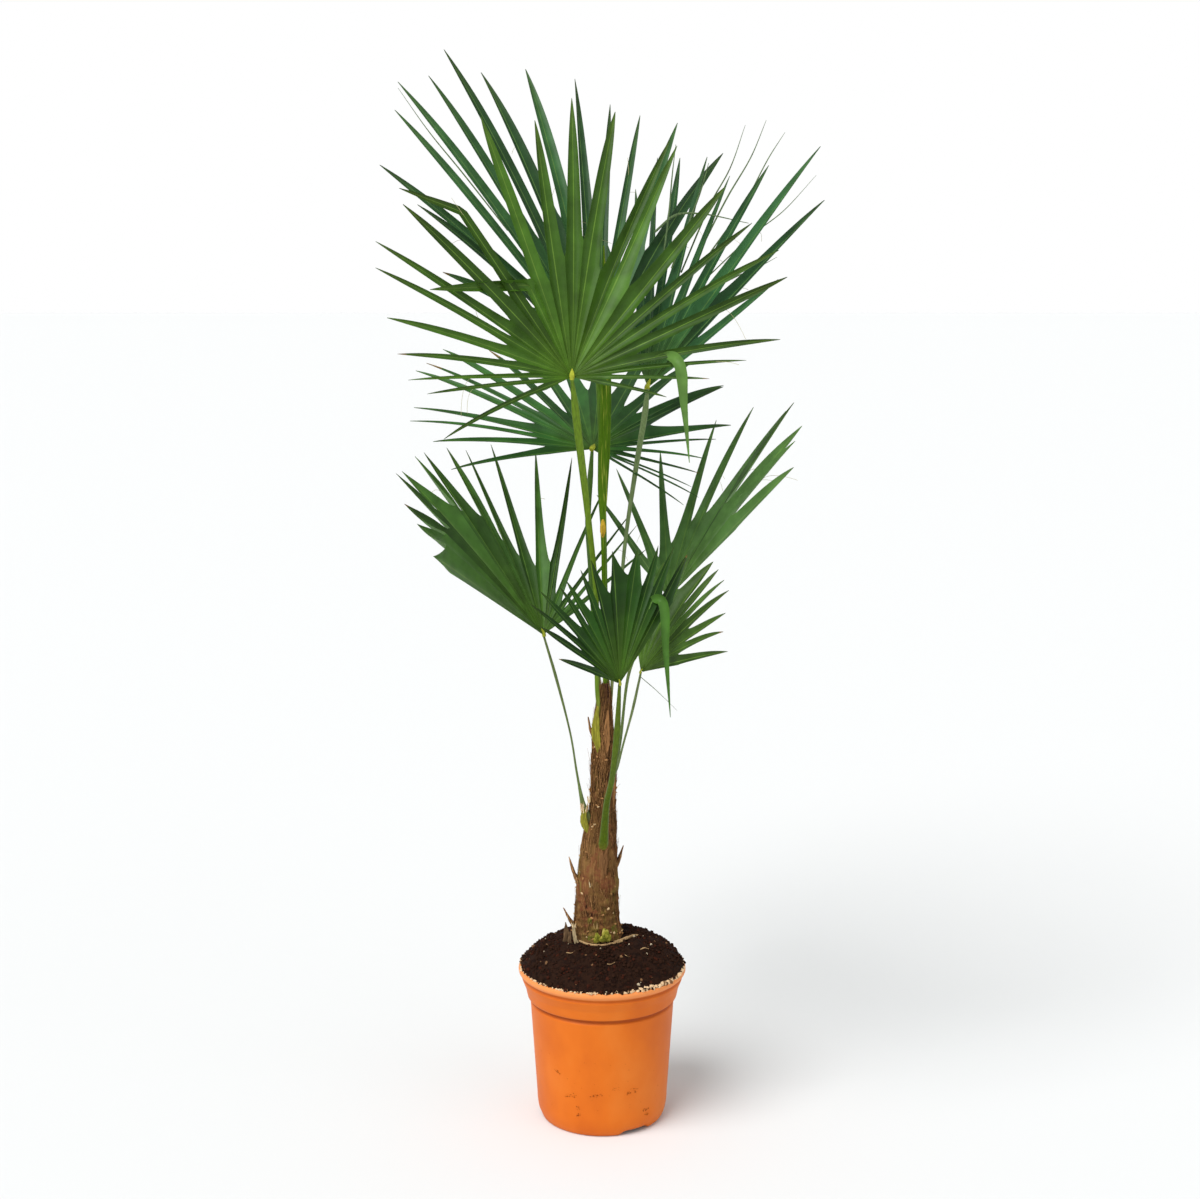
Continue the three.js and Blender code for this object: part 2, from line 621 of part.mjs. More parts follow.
add('pot', potGeometry(), '#e8782f', 0.45);
add('soil', soilGeometry(), '#33211a', 0.95);
add('trunk', trunkGeometry(), '#6a4a30', 0.9);
LEAF_BASES.forEach((base, number) => {
  add(`old_leaf_base_${number + 1}`, leafBaseGeometry(base), '#86623f', 0.85);
});
add('foot_bud', budGeometry(), '#82962f', 0.6);
add('spear_leaf', stemGeometry(SPEAR), '#7d9a2c', 0.5);
for (const [place, frond] of Object.entries(FRONDS)) {
  const fan = frond.hanging
    ? geometryOf(solid(fanGeometry(frond)).add(solid(hangingGeometry(frond))))
    : fanGeometry(frond);
  add(`petiole_${place}`, petioleGeometry(frond, fan), frond.stemColor, 0.5);
  add(`fan_${place}`, fan, frond.color, 0.5);
}

export default group;
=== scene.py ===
import math

import bpy
import numpy as np
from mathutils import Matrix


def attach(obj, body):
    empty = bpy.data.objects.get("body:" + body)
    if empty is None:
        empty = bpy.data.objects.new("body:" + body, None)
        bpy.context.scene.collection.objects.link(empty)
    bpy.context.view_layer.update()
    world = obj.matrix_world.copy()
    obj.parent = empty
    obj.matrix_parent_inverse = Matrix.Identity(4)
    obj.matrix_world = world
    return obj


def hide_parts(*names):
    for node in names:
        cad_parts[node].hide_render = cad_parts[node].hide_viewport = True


# Potted windmill palm: a young fan palm about 1.5 m tall in an orange nursery pot.
# Sizes are millimetres, and the meshes are put down in metres. +Z is up, and the front is at -Y.
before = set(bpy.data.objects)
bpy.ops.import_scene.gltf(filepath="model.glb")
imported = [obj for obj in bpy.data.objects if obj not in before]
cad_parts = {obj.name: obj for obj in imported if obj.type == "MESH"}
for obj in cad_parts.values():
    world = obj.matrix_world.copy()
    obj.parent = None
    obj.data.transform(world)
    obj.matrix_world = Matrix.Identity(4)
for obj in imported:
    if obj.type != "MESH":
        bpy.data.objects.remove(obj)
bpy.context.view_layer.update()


# The view: 2.6 m in front of the plant and 1.2 m above the floor, tipped a little down, through a
# lens that shows the whole plant.
VIEW_PLACE = (-0.003, -2.6, 1.2)
VIEW_TIP = 9.7
VIEW_LENS = 56.88

view_data = bpy.data.cameras.new("photograph_view")
view_data.sensor_width = 36.0
view_data.lens = VIEW_LENS
view = bpy.data.objects.new("photograph_view", view_data)
view.location = VIEW_PLACE
view.rotation_euler = (math.radians(90.0 - VIEW_TIP), 0.0, 0.0)
bpy.context.scene.collection.objects.link(view)
bpy.context.scene.camera = view


# The studio: a plain white floor, a white surround that is greyer overhead, and two soft lights, the
# larger one high on the left.
LIGHTS = {
    "large_soft_light": {"from": (-0.55, -0.6, 1.0), "spread": 40.0, "strength": 2.9},
    "small_soft_light": {"from": (0.9, -0.7, 0.55), "spread": 50.0, "strength": 0.3},
}
FLOOR_REACH = 60.0
FLOOR_TONE = (225, 225, 225)
WHITE = (1.0, 1.0, 1.0, 1.0)
OVERHEAD = (0.5, 0.52, 0.52, 1.0)


def tone(seen, shade=1.0):
    """A colour as seen, from 0 to 255, as linear light: v / 12.92 below 0.04 and
    ((v + 0.055) / 1.055) to the power 2.4 above it, times shade."""
    share = np.array(seen) / 255.0
    linear = np.where(share < 0.04, share / 12.92, ((share + 0.055) / 1.055) ** 2.4)
    return (*np.clip(linear * shade, 0.0, 1.0), 1.0)


def plain_finish(name, colour, roughness, gloss=0.08):
    """A material with one linear colour, for the nodes that come on top of it."""
    finish = bpy.data.materials.new(name)
    finish.use_nodes = True
    shader = finish.node_tree.nodes["Principled BSDF"]
    shader.inputs["Base Color"].default_value = colour
    shader.inputs["Roughness"].default_value = roughness
    shader.inputs["Specular IOR Level"].default_value = gloss
    return finish


def add_node(owner, kind, **inputs):
    """A node of a material or world, with a value or a link for each input that is named."""
    node = owner.node_tree.nodes.new(kind)
    for name, value in inputs.items():
        if hasattr(value, "is_output"):
            owner.node_tree.links.new(value, node.inputs[name])
        else:
            node.inputs[name].default_value = value
    return node


def part_of(owner, vector, axis):
    """One coordinate of a vector."""
    return add_node(owner, "ShaderNodeSeparateXYZ", Vector=vector).outputs[axis]


def blended(owner, pattern, colours, low=0.3, high=0.7):
    """Colours in even steps over a pattern's values from low to high."""
    ramp = add_node(owner, "ShaderNodeValToRGB", Fac=pattern)
    stops = ramp.color_ramp.elements
    while len(stops) < len(colours):
        stops.new(0.5)
    for stop, colour, place in zip(stops, colours, np.linspace(low, high, len(colours))):
        stop.position = place
        stop.color = colour
    return ramp.outputs[0]


floor_mesh = bpy.data.meshes.new("floor")
floor_corners = [(east * FLOOR_REACH, north * FLOOR_REACH, 0.0)
                 for east, north in ((-1, -1), (1, -1), (1, 1), (-1, 1))]
floor_mesh.from_pydata(floor_corners, [], [(0, 1, 2, 3)])
floor_mesh.materials.append(plain_finish("pale_floor", tone(FLOOR_TONE), 0.9))
floor = bpy.data.objects.new("floor", floor_mesh)
bpy.context.scene.collection.objects.link(floor)

surround = bpy.data.worlds.new("surround")
surround.use_nodes = True
view_way = add_node(surround, "ShaderNodeTexCoord").outputs["Generated"]
light_above = blended(surround, part_of(surround, view_way, "Z"), [WHITE, OVERHEAD], 0.2, 0.45)
surround.node_tree.links.new(light_above, surround.node_tree.nodes["Background"].inputs["Color"])
bpy.context.scene.world = surround
bpy.context.scene.view_settings.view_transform = "Standard"

for light_name, light in LIGHTS.items():
    light_data = bpy.data.lights.new(light_name, "SUN")
    light_data.angle = math.radians(light["spread"])
    light_data.energy = light["strength"]
    lamp = bpy.data.objects.new(light_name, light_data)
    east, north, up = light["from"]
    lamp.rotation_euler = (math.atan2(math.hypot(east, north), up), 0.0,
                           math.atan2(north, east) + math.pi / 2.0)
    bpy.context.scene.collection.objects.link(lamp)


# The nursery pot: thin orange plastic, moulded in one piece, with a rolled lip over a flared collar
# and a rounded foot with three shallow drainage notches in its edge.
METRE = 0.001
POT_HEIGHT = 224
POT_RIM_RADIUS = 120
POT_WALL = 2.6
POT_FOOT_RADIUS = 84
POT_FOOT_ROUND = 34
POT_BODY_FOOT_RADIUS = 94
POT_BODY_TOP = 172
POT_BODY_TOP_RADIUS = 103
POT_COLLAR_FOOT = 179
POT_COLLAR_TOP = 210
POT_EDGE_ROUND = 1.4
POT_COLUMNS = 196
NOTCH_TURN = -57
NOTCHES = 3
NOTCH_HEIGHT = 5
NOTCH_WIDTH = 44
POT_ORANGE = (208, 104, 16)
POT_WORN = (215, 117, 36)
POT_SHADE = (194, 91, 10)
# The paler lip: partly a worn, scuffed edge and partly a painted highlight.
POT_LIP_WEAR_AND_HIGHLIGHT = (226, 138, 74)
BLACK = (0.0, 0.0, 0.0, 1.0)
# The colour of the painted shade in the pot's two grooves.
GROOVE_SHADE = (0.62, 0.5, 0.4, 1.0)


def rounded_profile(corners, spacing, radius):
    """A profile with its corners rounded: points `spacing` apart along straight lines between the
    corners, each moved to the mean of those within `radius` along the line. Its ends stay."""
    corners = np.array(corners, float)
    lengths = np.concatenate([[0.0], np.cumsum(np.linalg.norm(np.diff(corners, axis=0), axis=1))])
    steps = np.linspace(0.0, lengths[-1], int(lengths[-1] / spacing) + 1)
    reach = int(radius / spacing)
    offsets = np.arange(-reach, reach + 1) * spacing
    places = np.clip(steps[:, None] + offsets, 0.0, lengths[-1])
    mean = np.stack([np.interp(places, lengths, corners[:, axis]).mean(1) for axis in (0, 1)], 1)
    mean[[0, -1]] = corners[[0, -1]]
    return mean


def around(turn, radius, height, x=0.0, y=0.0):
    """Points at a turn and a radius about the upright line through x and y, at a height."""
    return np.stack(np.broadcast_arrays(x + radius * np.cos(turn), y + radius * np.sin(turn),
                                        height), -1)


def full_turn(count):
    """Even angles all the way round, without the last, which is the first again."""
    return np.linspace(0.0, 2.0 * np.pi, count, endpoint=False)


def skin(name, rings, finishes, kinds=0, sharp=40.0, flow=None):
    """A mesh of closed tubes from rings of points in millimetres, shaped (tubes, rings, points, 3).
    Point j of ring i is joined to point j + 1 and to ring i + 1, and both ends get a flat face.
    kinds gives a material's number for each side face, shaped (tubes, rings - 1, points) or less.
    Edges that bend by more than `sharp` degrees stay sharp. flow is a UV place for each point."""
    tubes, rows, sides = rings.shape[:3]
    mesh = bpy.data.meshes.new(name)
    mesh.vertices.add(tubes * rows * sides)
    mesh.vertices.foreach_set("co", (rings * METRE).astype(np.float32).ravel())
    number = np.arange(tubes * rows * sides).reshape(tubes, rows, sides)
    after = np.roll(number, -1, 2)
    quads = np.stack([number[:, :-1], after[:, :-1], after[:, 1:], number[:, 1:]], -1)
    ends = np.concatenate([number[:, 0, ::-1], number[:, -1]])
    corner = np.concatenate([quads.ravel(), ends.ravel()])
    side_faces = quads.size // 4
    starts = np.concatenate([np.arange(side_faces) * 4,
                             side_faces * 4 + np.arange(2 * tubes) * sides])
    mesh.loops.add(len(corner))
    mesh.loops.foreach_set("vertex_index", corner.astype(np.int32))
    mesh.polygons.add(len(starts))
    mesh.polygons.foreach_set("loop_start", starts.astype(np.int32))
    kinds = np.broadcast_to(kinds, (tubes, rows - 1, sides))
    numbers = np.concatenate([kinds.ravel(), kinds[:, 0, 0], kinds[:, -1, 0]])
    mesh.polygons.foreach_set("material_index", numbers.astype(np.int32))
    mesh.update(calc_edges=True)
    if flow is not None:
        mesh.uv_layers.new(name="flow")
        places = flow.reshape(-1, 2)[corner].astype(np.float32)
        mesh.uv_layers["flow"].data.foreach_set("uv", places.ravel())
    mesh.shade_smooth()
    mesh.set_sharp_from_angle(angle=math.radians(sharp))
    for finish in finishes:
        mesh.materials.append(finish)
    piece = bpy.data.objects.new(name, mesh)
    bpy.context.scene.collection.objects.link(piece)
    return piece


def feed(finish, socket, name="Base Color"):
    """A link from a socket to the named input of a finish's shader."""
    shader = finish.node_tree.nodes["Principled BSDF"]
    finish.node_tree.links.new(socket, shader.inputs[name])


def grain(finish, across, along, detail=3.0):
    """A noise pattern from 0 to 1 on object coordinates, with spots `across` millimetres wide and
    `along` millimetres high."""
    place = add_node(finish, "ShaderNodeTexCoord").outputs["Object"]
    scale = [1.0 / (size * METRE) for size in (across, across, along)]
    stretched = add_node(finish, "ShaderNodeMapping", Vector=place, Scale=scale).outputs[0]
    return add_node(finish, "ShaderNodeTexNoise", Vector=stretched, Scale=1.0,
                    Detail=detail).outputs[0]


def mixed(finish, share, first, second, kind="MIX"):
    """Two colours mixed, with a share of the second."""
    mix = add_node(finish, "ShaderNodeMixRGB", Fac=share, Color1=first, Color2=second)
    mix.blend_type = kind
    return mix.outputs[0]


def divided(finish, value, divisor):
    """A value divided by a number."""
    division = add_node(finish, "ShaderNodeMath", Value=value)
    division.operation = "DIVIDE"
    division.inputs[1].default_value = divisor
    return division.outputs[0]


def raised(finish, pattern, height, strength=1.0):
    """A relief on a finish: the pattern's 1 stands `height` millimetres above its 0."""
    relief = add_node(finish, "ShaderNodeBump", Height=pattern, Distance=height * METRE,
                      Strength=strength)
    feed(finish, relief.outputs[0], "Normal")


def rounded_foot(flat, wall, floor_height):
    """A quarter of an ellipse as [radius, height] pairs, from the flat underside into the wall."""
    turn = np.linspace(0.0, np.pi / 2.0, 15)
    height = floor_height + (POT_FOOT_ROUND - floor_height) * (1.0 - np.cos(turn))
    return np.stack([flat + (wall - flat) * np.sin(turn), height], 1).tolist()


def pot_inside(off):
    """The pot's inner side, `off` millimetres in from it, as [radius, height] pairs, rising."""
    inner = POT_WALL + off
    return [*rounded_foot(POT_FOOT_RADIUS - inner, POT_BODY_FOOT_RADIUS - inner, inner),
            [101 - inner, 177], [114 - inner, POT_COLLAR_TOP], [118 - inner, POT_HEIGHT]]


def lifted_by_notches(rings):
    """The notches in a foot: a point near the foot's edge is lifted by NOTCH_HEIGHT, less the higher
    it stands, fully in the middle of a notch and not at all past its sides."""
    radius = np.hypot(rings[..., 0], rings[..., 1])
    turn = np.degrees(np.arctan2(rings[..., 1], rings[..., 0])) - NOTCH_TURN
    between = 360.0 / NOTCHES
    off_middle = np.radians(np.abs((turn + between / 2.0) % between - between / 2.0)) * POT_FOOT_RADIUS
    beside = np.clip((NOTCH_WIDTH / 2.0 + 5.0 - off_middle) / 12.0, 0.0, 1.0)
    outward = np.clip((radius - POT_FOOT_RADIUS + 14.0) / 8.0, 0.0, 1.0)
    lift = NOTCH_HEIGHT * (3.0 - 2.0 * beside) * beside ** 2 * (3.0 - 2.0 * outward) * outward ** 2
    rings[..., 2] += lift * np.clip(1.0 - rings[..., 2] / (2.6 * NOTCH_HEIGHT), 0.0, 1.0)
    return rings


pot_outline = [[1, 0], *rounded_foot(POT_FOOT_RADIUS, POT_BODY_FOOT_RADIUS, 0),
               [POT_BODY_TOP_RADIUS, POT_BODY_TOP], [POT_BODY_TOP_RADIUS - 3, 174.5],
               [POT_BODY_TOP_RADIUS - 2.6, 178], [POT_BODY_TOP_RADIUS + 4, POT_COLLAR_FOOT + 1],
               [POT_BODY_TOP_RADIUS + 7, 194], [POT_RIM_RADIUS - 4.5, POT_COLLAR_TOP - 2],
               [POT_RIM_RADIUS - 6.5, 210], [POT_RIM_RADIUS - 6, 212.5],
               [POT_RIM_RADIUS - 2, 215], [POT_RIM_RADIUS, 218], [POT_RIM_RADIUS, 222],
               [POT_RIM_RADIUS - 2, POT_HEIGHT], *pot_inside(0)[::-1], [1, POT_WALL]]
pot_profile = rounded_profile(pot_outline, 1.3, POT_EDGE_ROUND)
pot_rings = lifted_by_notches(around(full_turn(POT_COLUMNS), pot_profile[:, :1], pot_profile[:, 1:]))

plastic = plain_finish("orange_plastic", tone(POT_ORANGE), 0.5, 0.22)
clouds = blended(plastic, grain(plastic, 70.0, 110.0), [tone(POT_SHADE), tone(POT_ORANGE), tone(POT_WORN)],
                 0.25, 0.8)
place = add_node(plastic, "ShaderNodeTexCoord").outputs["Object"]
level = divided(plastic, part_of(plastic, place, "Z"), POT_HEIGHT * METRE)
# A paler band on the lip's top: partly a worn, scuffed edge and partly a painted highlight.
lip_wear_and_highlight = blended(plastic, level, [BLACK, WHITE], 0.945, 0.96)
# Painted shade: darker bands round the pot in the groove under the collar and in the groove under the lip.
collar_groove_shade = blended(plastic, level, [WHITE, GROOVE_SHADE, GROOVE_SHADE, WHITE], 0.768, 0.806)
lip_groove_shade = blended(plastic, level, [WHITE, GROOVE_SHADE, WHITE], 0.925, 0.955)
groove_shading = mixed(plastic, 0.7, collar_groove_shade, lip_groove_shade, "MULTIPLY")
feed(plastic, mixed(plastic, 1.0, mixed(plastic, lip_wear_and_highlight, clouds, tone(POT_LIP_WEAR_AND_HIGHLIGHT)), groove_shading, "MULTIPLY"))
raised(plastic, grain(plastic, 1.4, 1.4), 0.05, 0.6)
pot = skin("nursery_pot", pot_rings[None], [plastic])
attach(pot, "root")
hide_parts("pot")


# Splashes of soil that dried on the pot: flat brown specks low on its front, and finer ones all
# round it.
SPLASHES = [(-49, 60), (-41, 62), (-12, 64), (-4, 66), (18, 74), (37, 66), (46, 70), (-34, 44),
            (-34, 33), (64, 34), (66, 27), (-62, 92)]
SPLASH_COUNT = 12
STRAY_SPLASHES = 120
SPLASHED_RADIUS = 98.0
SPLASH_TONE = (140, 68, 20)


def lumps(name, middles, sizes, draw, finishes, kinds=0, stretch=1.0):
    """A mesh of small lumps: rings at five heights of a ball, each point's distance from the middle
    strayed by up to a third, in a random tilt."""
    level = np.linspace(-0.9, 0.9, 5)[:, None]
    ball = around(full_turn(6), np.sqrt(1.0 - level ** 2), level)
    strayed = ball * draw.uniform(0.67, 1.33, (len(middles), 5, 6, 1))
    strayed[..., 0] *= stretch
    axes, _ = np.linalg.qr(draw.normal(size=(len(middles), 3, 3)))
    axes *= np.sign(np.linalg.det(axes))[:, None, None]
    placed = np.einsum("nij,nrsj->nrsi", axes, strayed)
    rings = middles[:, None, None] + placed * sizes[:, None, None, None]
    return skin(name, rings, finishes, np.reshape(kinds, (-1, 1, 1)))


draw = np.random.default_rng(8)
x, height = np.repeat(np.array(SPLASHES, float), SPLASH_COUNT, 0).T
x = x + draw.normal(0.0, 2.4, len(x))
height = height + draw.normal(0.0, 1.6, len(x))
turn = np.concatenate([-np.arccos(x / SPLASHED_RADIUS),
                       draw.uniform(0.0, 2.0 * np.pi, STRAY_SPLASHES)])
height = np.concatenate([height, draw.uniform(36.0, 120.0, STRAY_SPLASHES)])
wall = np.interp(height, [POT_FOOT_ROUND, POT_BODY_TOP], [POT_BODY_FOOT_RADIUS, POT_BODY_TOP_RADIUS])
rise = (height - POT_FOOT_ROUND) / POT_FOOT_ROUND
foot = POT_FOOT_RADIUS + 10.0 * np.sqrt(np.clip(1.0 - rise ** 2, 0.0, 1.0))
radius = np.where(rise < 0.0, foot, wall) + 0.1
size = np.concatenate([0.2 + 0.8 * draw.uniform(0.0, 1.0, len(x)) ** 2,
                       draw.uniform(0.15, 0.4, STRAY_SPLASHES)])
dried_soil = plain_finish("dried_soil", tone(SPLASH_TONE), 0.95)
splashes = lumps("soil_splashes", around(turn, radius, height), size, draw, [dried_soil])
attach(splashes, "root")


# The potting soil: dark and moist, heaped over the rim, crumbly on top. It fills the pot, and its
# heap leans a little to the right.
SOIL_TOP = 268
SOIL_HEAP = [[118, 224.3], [114, 229], [108, 237], [97, 247], [80, 256], [62, 263], [50, 266],
             [1, SOIL_TOP]]
SOIL_LEAN = 0.1
SOIL_DARK = (24, 13, 9)
SOIL_BROWN = (43, 25, 16)
SOIL_RED = (58, 27, 16)


def cloud(points, size, seed):
    """Smooth random values from -1 to 1: random numbers on a cubic lattice with cells of `size`
    millimetres, blended between a cell's eight corners by s * s * (3 - 2 * s)."""
    lattice = np.random.default_rng(seed).uniform(-1.0, 1.0, (32, 32, 32))
    scaled = points / size
    cell = np.floor(scaled).astype(int)
    share = scaled - cell
    share = share * share * (3.0 - 2.0 * share)
    total = np.zeros(points.shape[:-1])
    for corner in np.ndindex(2, 2, 2):
        index = (cell + np.array(corner)) % 32
        weight = np.where(corner, share, 1.0 - share).prod(-1)
        total += weight * lattice[index[..., 0], index[..., 1], index[..., 2]]
    return total


def grained_finish(name, colour, roughness, colours, size, relief=None, depth=0.0, high=0.7):
    """A material whose colours follow a grain. size is the grain's width, height and detail, and
    relief that of a finer one, which stands up by `depth` millimetres."""
    finish = plain_finish(name, colour, roughness)
    feed(finish, blended(finish, grain(finish, *size), colours, 0.3, high))
    if relief:
        raised(finish, grain(finish, *relief), depth)
    return finish


outline = rounded_profile([[1, POT_WALL + 0.3], *pot_inside(0.3), *SOIL_HEAP], 1.7, 5.0)
rings = around(full_turn(200), outline[:, :1], outline[:, 1:])
heaped = np.clip((rings[..., 2] - POT_HEIGHT) / 6.0, 0.0, 1.0)
rings[..., 0] += SOIL_LEAN * np.maximum(0.0, rings[..., 2] - POT_HEIGHT)
rings[..., 2] += heaped * (1.3 * cloud(rings, 9.0, 5) + 1.0 * cloud(rings, 3.5, 6)
                           + 1.8 * cloud(rings, 26.0, 7))
earth = grained_finish("potting_soil", tone(SOIL_DARK), 0.95,
                       [tone(SOIL_DARK), tone(SOIL_BROWN), tone(SOIL_DARK), tone(SOIL_RED)],
                       (9.0, 9.0, 8.0), (1.6, 1.6, 6.0), 1.0, 0.75)
soil = skin("potting_soil", rings[None], [earth], sharp=180.0)
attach(soil, "root")
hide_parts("soil")


# Loose crumbs on the soil and along the rim: lumps of peat and a few pale bits of perlite and bark.
# Those on the rim are mostly pale, and larger at its front on the right. Their pale line along the
# rim is partly pale bits and crust, and partly a painted highlight for the light on the rim's inner lip.
CRUMB_COUNT = 2600
CRUMB_PALE = (188, 172, 145)
CRUMB_BARK = (120, 88, 60)
RIM_CRUMB_COUNT = 520
RIM_LARGE_COUNT = 120
RIM_CRUMB_PALE = (218, 184, 144)

draw = np.random.default_rng(12)
turn = draw.uniform(0.0, 2.0 * np.pi, CRUMB_COUNT)
radius = 118.0 * np.sqrt(draw.uniform(0.06, 1.0, CRUMB_COUNT))
heap = np.array(SOIL_HEAP[::-1])
height = np.interp(radius, heap[:, 0], heap[:, 1])
size = 0.9 + 2.2 * draw.uniform(0.0, 1.0, CRUMB_COUNT) ** 3
middle = around(turn, radius, height + 0.2, SOIL_LEAN * (height - POT_HEIGHT))
peat = plain_finish("peat_crumb", tone(SOIL_BROWN), 0.95)
raised(peat, grain(peat, 1.0, 1.0), 0.4)
bark_bit = plain_finish("bark_crumb", tone(CRUMB_BARK), 0.9)
crumb_finishes = [peat, plain_finish("red_peat_crumb", tone(SOIL_RED), 0.95),
                  plain_finish("pale_crumb", tone(CRUMB_PALE), 0.9), bark_bit]
kind = draw.choice(4, CRUMB_COUNT, p=[0.81, 0.165, 0.007, 0.018])
crumbs = lumps("soil_crumbs", middle, size, draw, crumb_finishes, kind)
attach(crumbs, "root")

draw = np.random.default_rng(31)
turn = np.concatenate([draw.uniform(0.0, 2.0 * np.pi, RIM_CRUMB_COUNT - RIM_LARGE_COUNT),
                       np.radians(draw.normal(-47.0, 14.0, RIM_LARGE_COUNT))])
radius = draw.uniform(115.5, 118.8, RIM_CRUMB_COUNT)
size = draw.uniform(0.5, 1.5, RIM_CRUMB_COUNT)
size[-RIM_LARGE_COUNT:] *= 1.8
kind = draw.choice(3, RIM_CRUMB_COUNT, p=[0.25, 0.63, 0.12])
# Pale rim crumbs: partly pale bits and crust, partly a painted highlight for the light on the rim's inner
# lip.
rim_pale_and_highlight = plain_finish("pale_rim_crumb_and_highlight", tone(RIM_CRUMB_PALE), 0.9)
rim_crumbs = lumps("rim_crumbs", around(turn, radius, POT_HEIGHT + 0.6), size, draw,
                   [peat, rim_pale_and_highlight, bark_bit], kind, 1.8)
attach(rim_crumbs, "root")


# The trunk: young and thin, wrapped in the brown fibrous sheaths of shed leaves. Their ragged upper
# edges overlap like scales. Near its foot they have worn off to a rough, ringed bark.
TRUNK = np.array([
    [268.3, -7, 0, 37], [291, -8, 0, 33], [320, -7, 0, 30.5], [348, -7, 0, 29], [370, -6, 0, 27],
    [401, -4, 0, 24.5], [432, -2, 0, 22.5], [448, 0, 0, 19.5], [470, 1, 0, 18], [526, 2.5, 0, 18],
    [555, 2, 1, 16], [584, 1, 2, 13.5], [612, 3, 3, 10.5], [636, 4, 3, 6.5],
])
TRUNK_ROWS = 460
TRUNK_COLUMNS = 210
SHEATHS = 21
SHEATH_STEP = 15.0
SHEATH_LENGTH = 100.0
SHEATH_THICKNESS = 2.8
GOLDEN_TURN = math.radians(137.5)
BARK_DARK = (38, 22, 14)
BARK_BROWN = (106, 74, 42)
BARK_OLIVE = (108, 88, 42)
BARK_TAN = (156, 114, 72)
BARK_PALE = (196, 166, 124)
BARKS = {"brown_sheath": BARK_BROWN, "red_brown_sheath": (108, 64, 40), "olive_sheath": BARK_OLIVE,
         "purple_sheath": (92, 56, 46), "green_stained_bark": (112, 112, 44)}


def trunk_at(height):
    """The trunk's centre and radius at a height, by straight lines between its named rings."""
    return [np.interp(height, TRUNK[:, 0], TRUNK[:, item]) for item in (1, 2, 3)]


def sheath_layers(turn, height):
    """How far the sheaths stand off the trunk, and which one lies outermost. Sheath n sits a golden
    turn round from the one before and a step higher. It grows from nothing at its foot to its full
    thickness at its frayed upper edge, which falls away to both sides of its middle."""
    relief = np.zeros(np.broadcast_shapes(turn.shape, height.shape))
    outermost = np.zeros(relief.shape, int)
    for number in range(SHEATHS):
        off = (turn - number * GOLDEN_TURN - 1.3 + np.pi) % (2.0 * np.pi) - np.pi
        frayed = (3.0 * np.sin(23.0 * turn + number) + 1.8 * np.sin(57.0 * turn + 2.0 * number)
                  + 5.0 * np.sin(5.0 * turn + 3.0 * number))
        edge = 322.0 + SHEATH_STEP * number - 30.0 * np.abs(off) ** 1.4 + frayed
        below = (edge - height) / SHEATH_LENGTH
        inside = (below > 0.0) & (below < 1.0) & (np.abs(off) < 2.2)
        level = np.where(inside, np.clip(1.0 - below, 0.0, 1.0) ** 1.6, 0.0)
        outermost = np.where(level > relief, number + 1, outermost)
        relief = np.maximum(relief, level)
    return SHEATH_THICKNESS * relief, outermost


def bark_finish(name, brown):
    """Fibrous bark: painted shade in its hollows and painted light on its ridges, by the relief stored
    on the mesh, under thin streaks and small mottles of lighter and darker brown."""
    finish = plain_finish(name, tone(brown), 0.9)
    height = add_node(finish, "ShaderNodeAttribute")
    height.attribute_name = "relief"
    dark, middle, tan = tone(BARK_DARK), tone(brown), tone(BARK_TAN)
    # Painted shade and light: dark in the relief's hollows, tan on its ridges.
    depth = blended(finish, height.outputs["Fac"], [dark, middle, tan], 0.25, 0.95)
    streaks = blended(finish, grain(finish, 1.6, 26.0, 6.0),
                      [dark, middle, middle, tan, tone(BARK_PALE)], 0.24, 0.8)
    mottles = blended(finish, grain(finish, 6.0, 5.0, 6.0), [dark, middle, tone(BARK_OLIVE), tan],
                      0.3, 0.75)
    feed(finish, mixed(finish, 0.3, mixed(finish, 0.5, depth, streaks), mottles))
    raised(finish, grain(finish, 0.8, 9.0, 5.0), 0.8)
    return finish


height = np.linspace(TRUNK[0, 0], TRUNK[-1, 0], TRUNK_ROWS)[:, None]
turn = full_turn(TRUNK_COLUMNS)[None]
x, y, radius = trunk_at(height)
surface = around(turn, radius, height)
worn = np.clip((345.0 - height) / 45.0, 0.0, 1.0)
slim = np.clip((height - 400.0) / 60.0, 0.0, 1.0)
fibre = cloud(surface / [1.0, 1.0, 14.0], 1.9, 21)
strip = cloud(surface / [1.0, 1.0, 9.0], 6.5, 22)
scar = np.sin(height / 1.9 + 2.2 * cloud(surface, 16.0, 24))
sheath, outermost = sheath_layers(turn, height)
relief = (sheath * (1.0 - 0.7 * worn) - 1.6 - 1.8 * slim
          + (1.0 - worn) * (0.5 * fibre + 0.8 * strip)
          + worn * (0.75 * scar + 0.9 * cloud(surface, 2.6, 25) + 0.5 * fibre)
          + 1.1 * cloud(surface, 9.0, 23))
rings = around(turn, radius + np.clip(radius / 16.0, 0.3, 1.0) * relief, height, x, y)
kinds = np.array([0, 0, 1, 2, 0, 1])[outermost % 6]
kinds = np.where((height > 545.0) & (np.cos(turn) > -0.1), 3, kinds)
kinds = np.where((cloud(surface, 11.0, 27) > 0.52) & (height < 345.0), 4, kinds)
trunk = skin("trunk_sheaths", rings[None], [bark_finish(*bark) for bark in BARKS.items()],
             kinds[None, :-1], sharp=70.0)
# The relief is kept on the mesh for the bark's painted shade in its hollows and painted light on its
# ridges.
relief_share = np.clip((relief + 3.0) / 6.0, 0.0, 1.0)
trunk.data.attributes.new("relief", "FLOAT", "POINT")
trunk.data.attributes["relief"].data.foreach_set("value", relief_share.astype(np.float32).ravel())
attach(trunk, "root")
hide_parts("trunk")


# Pale flecks on the bark: chips and torn ends where the brown skin has come away, most of them near
# the trunk's foot.
FLECK_COUNT = 150

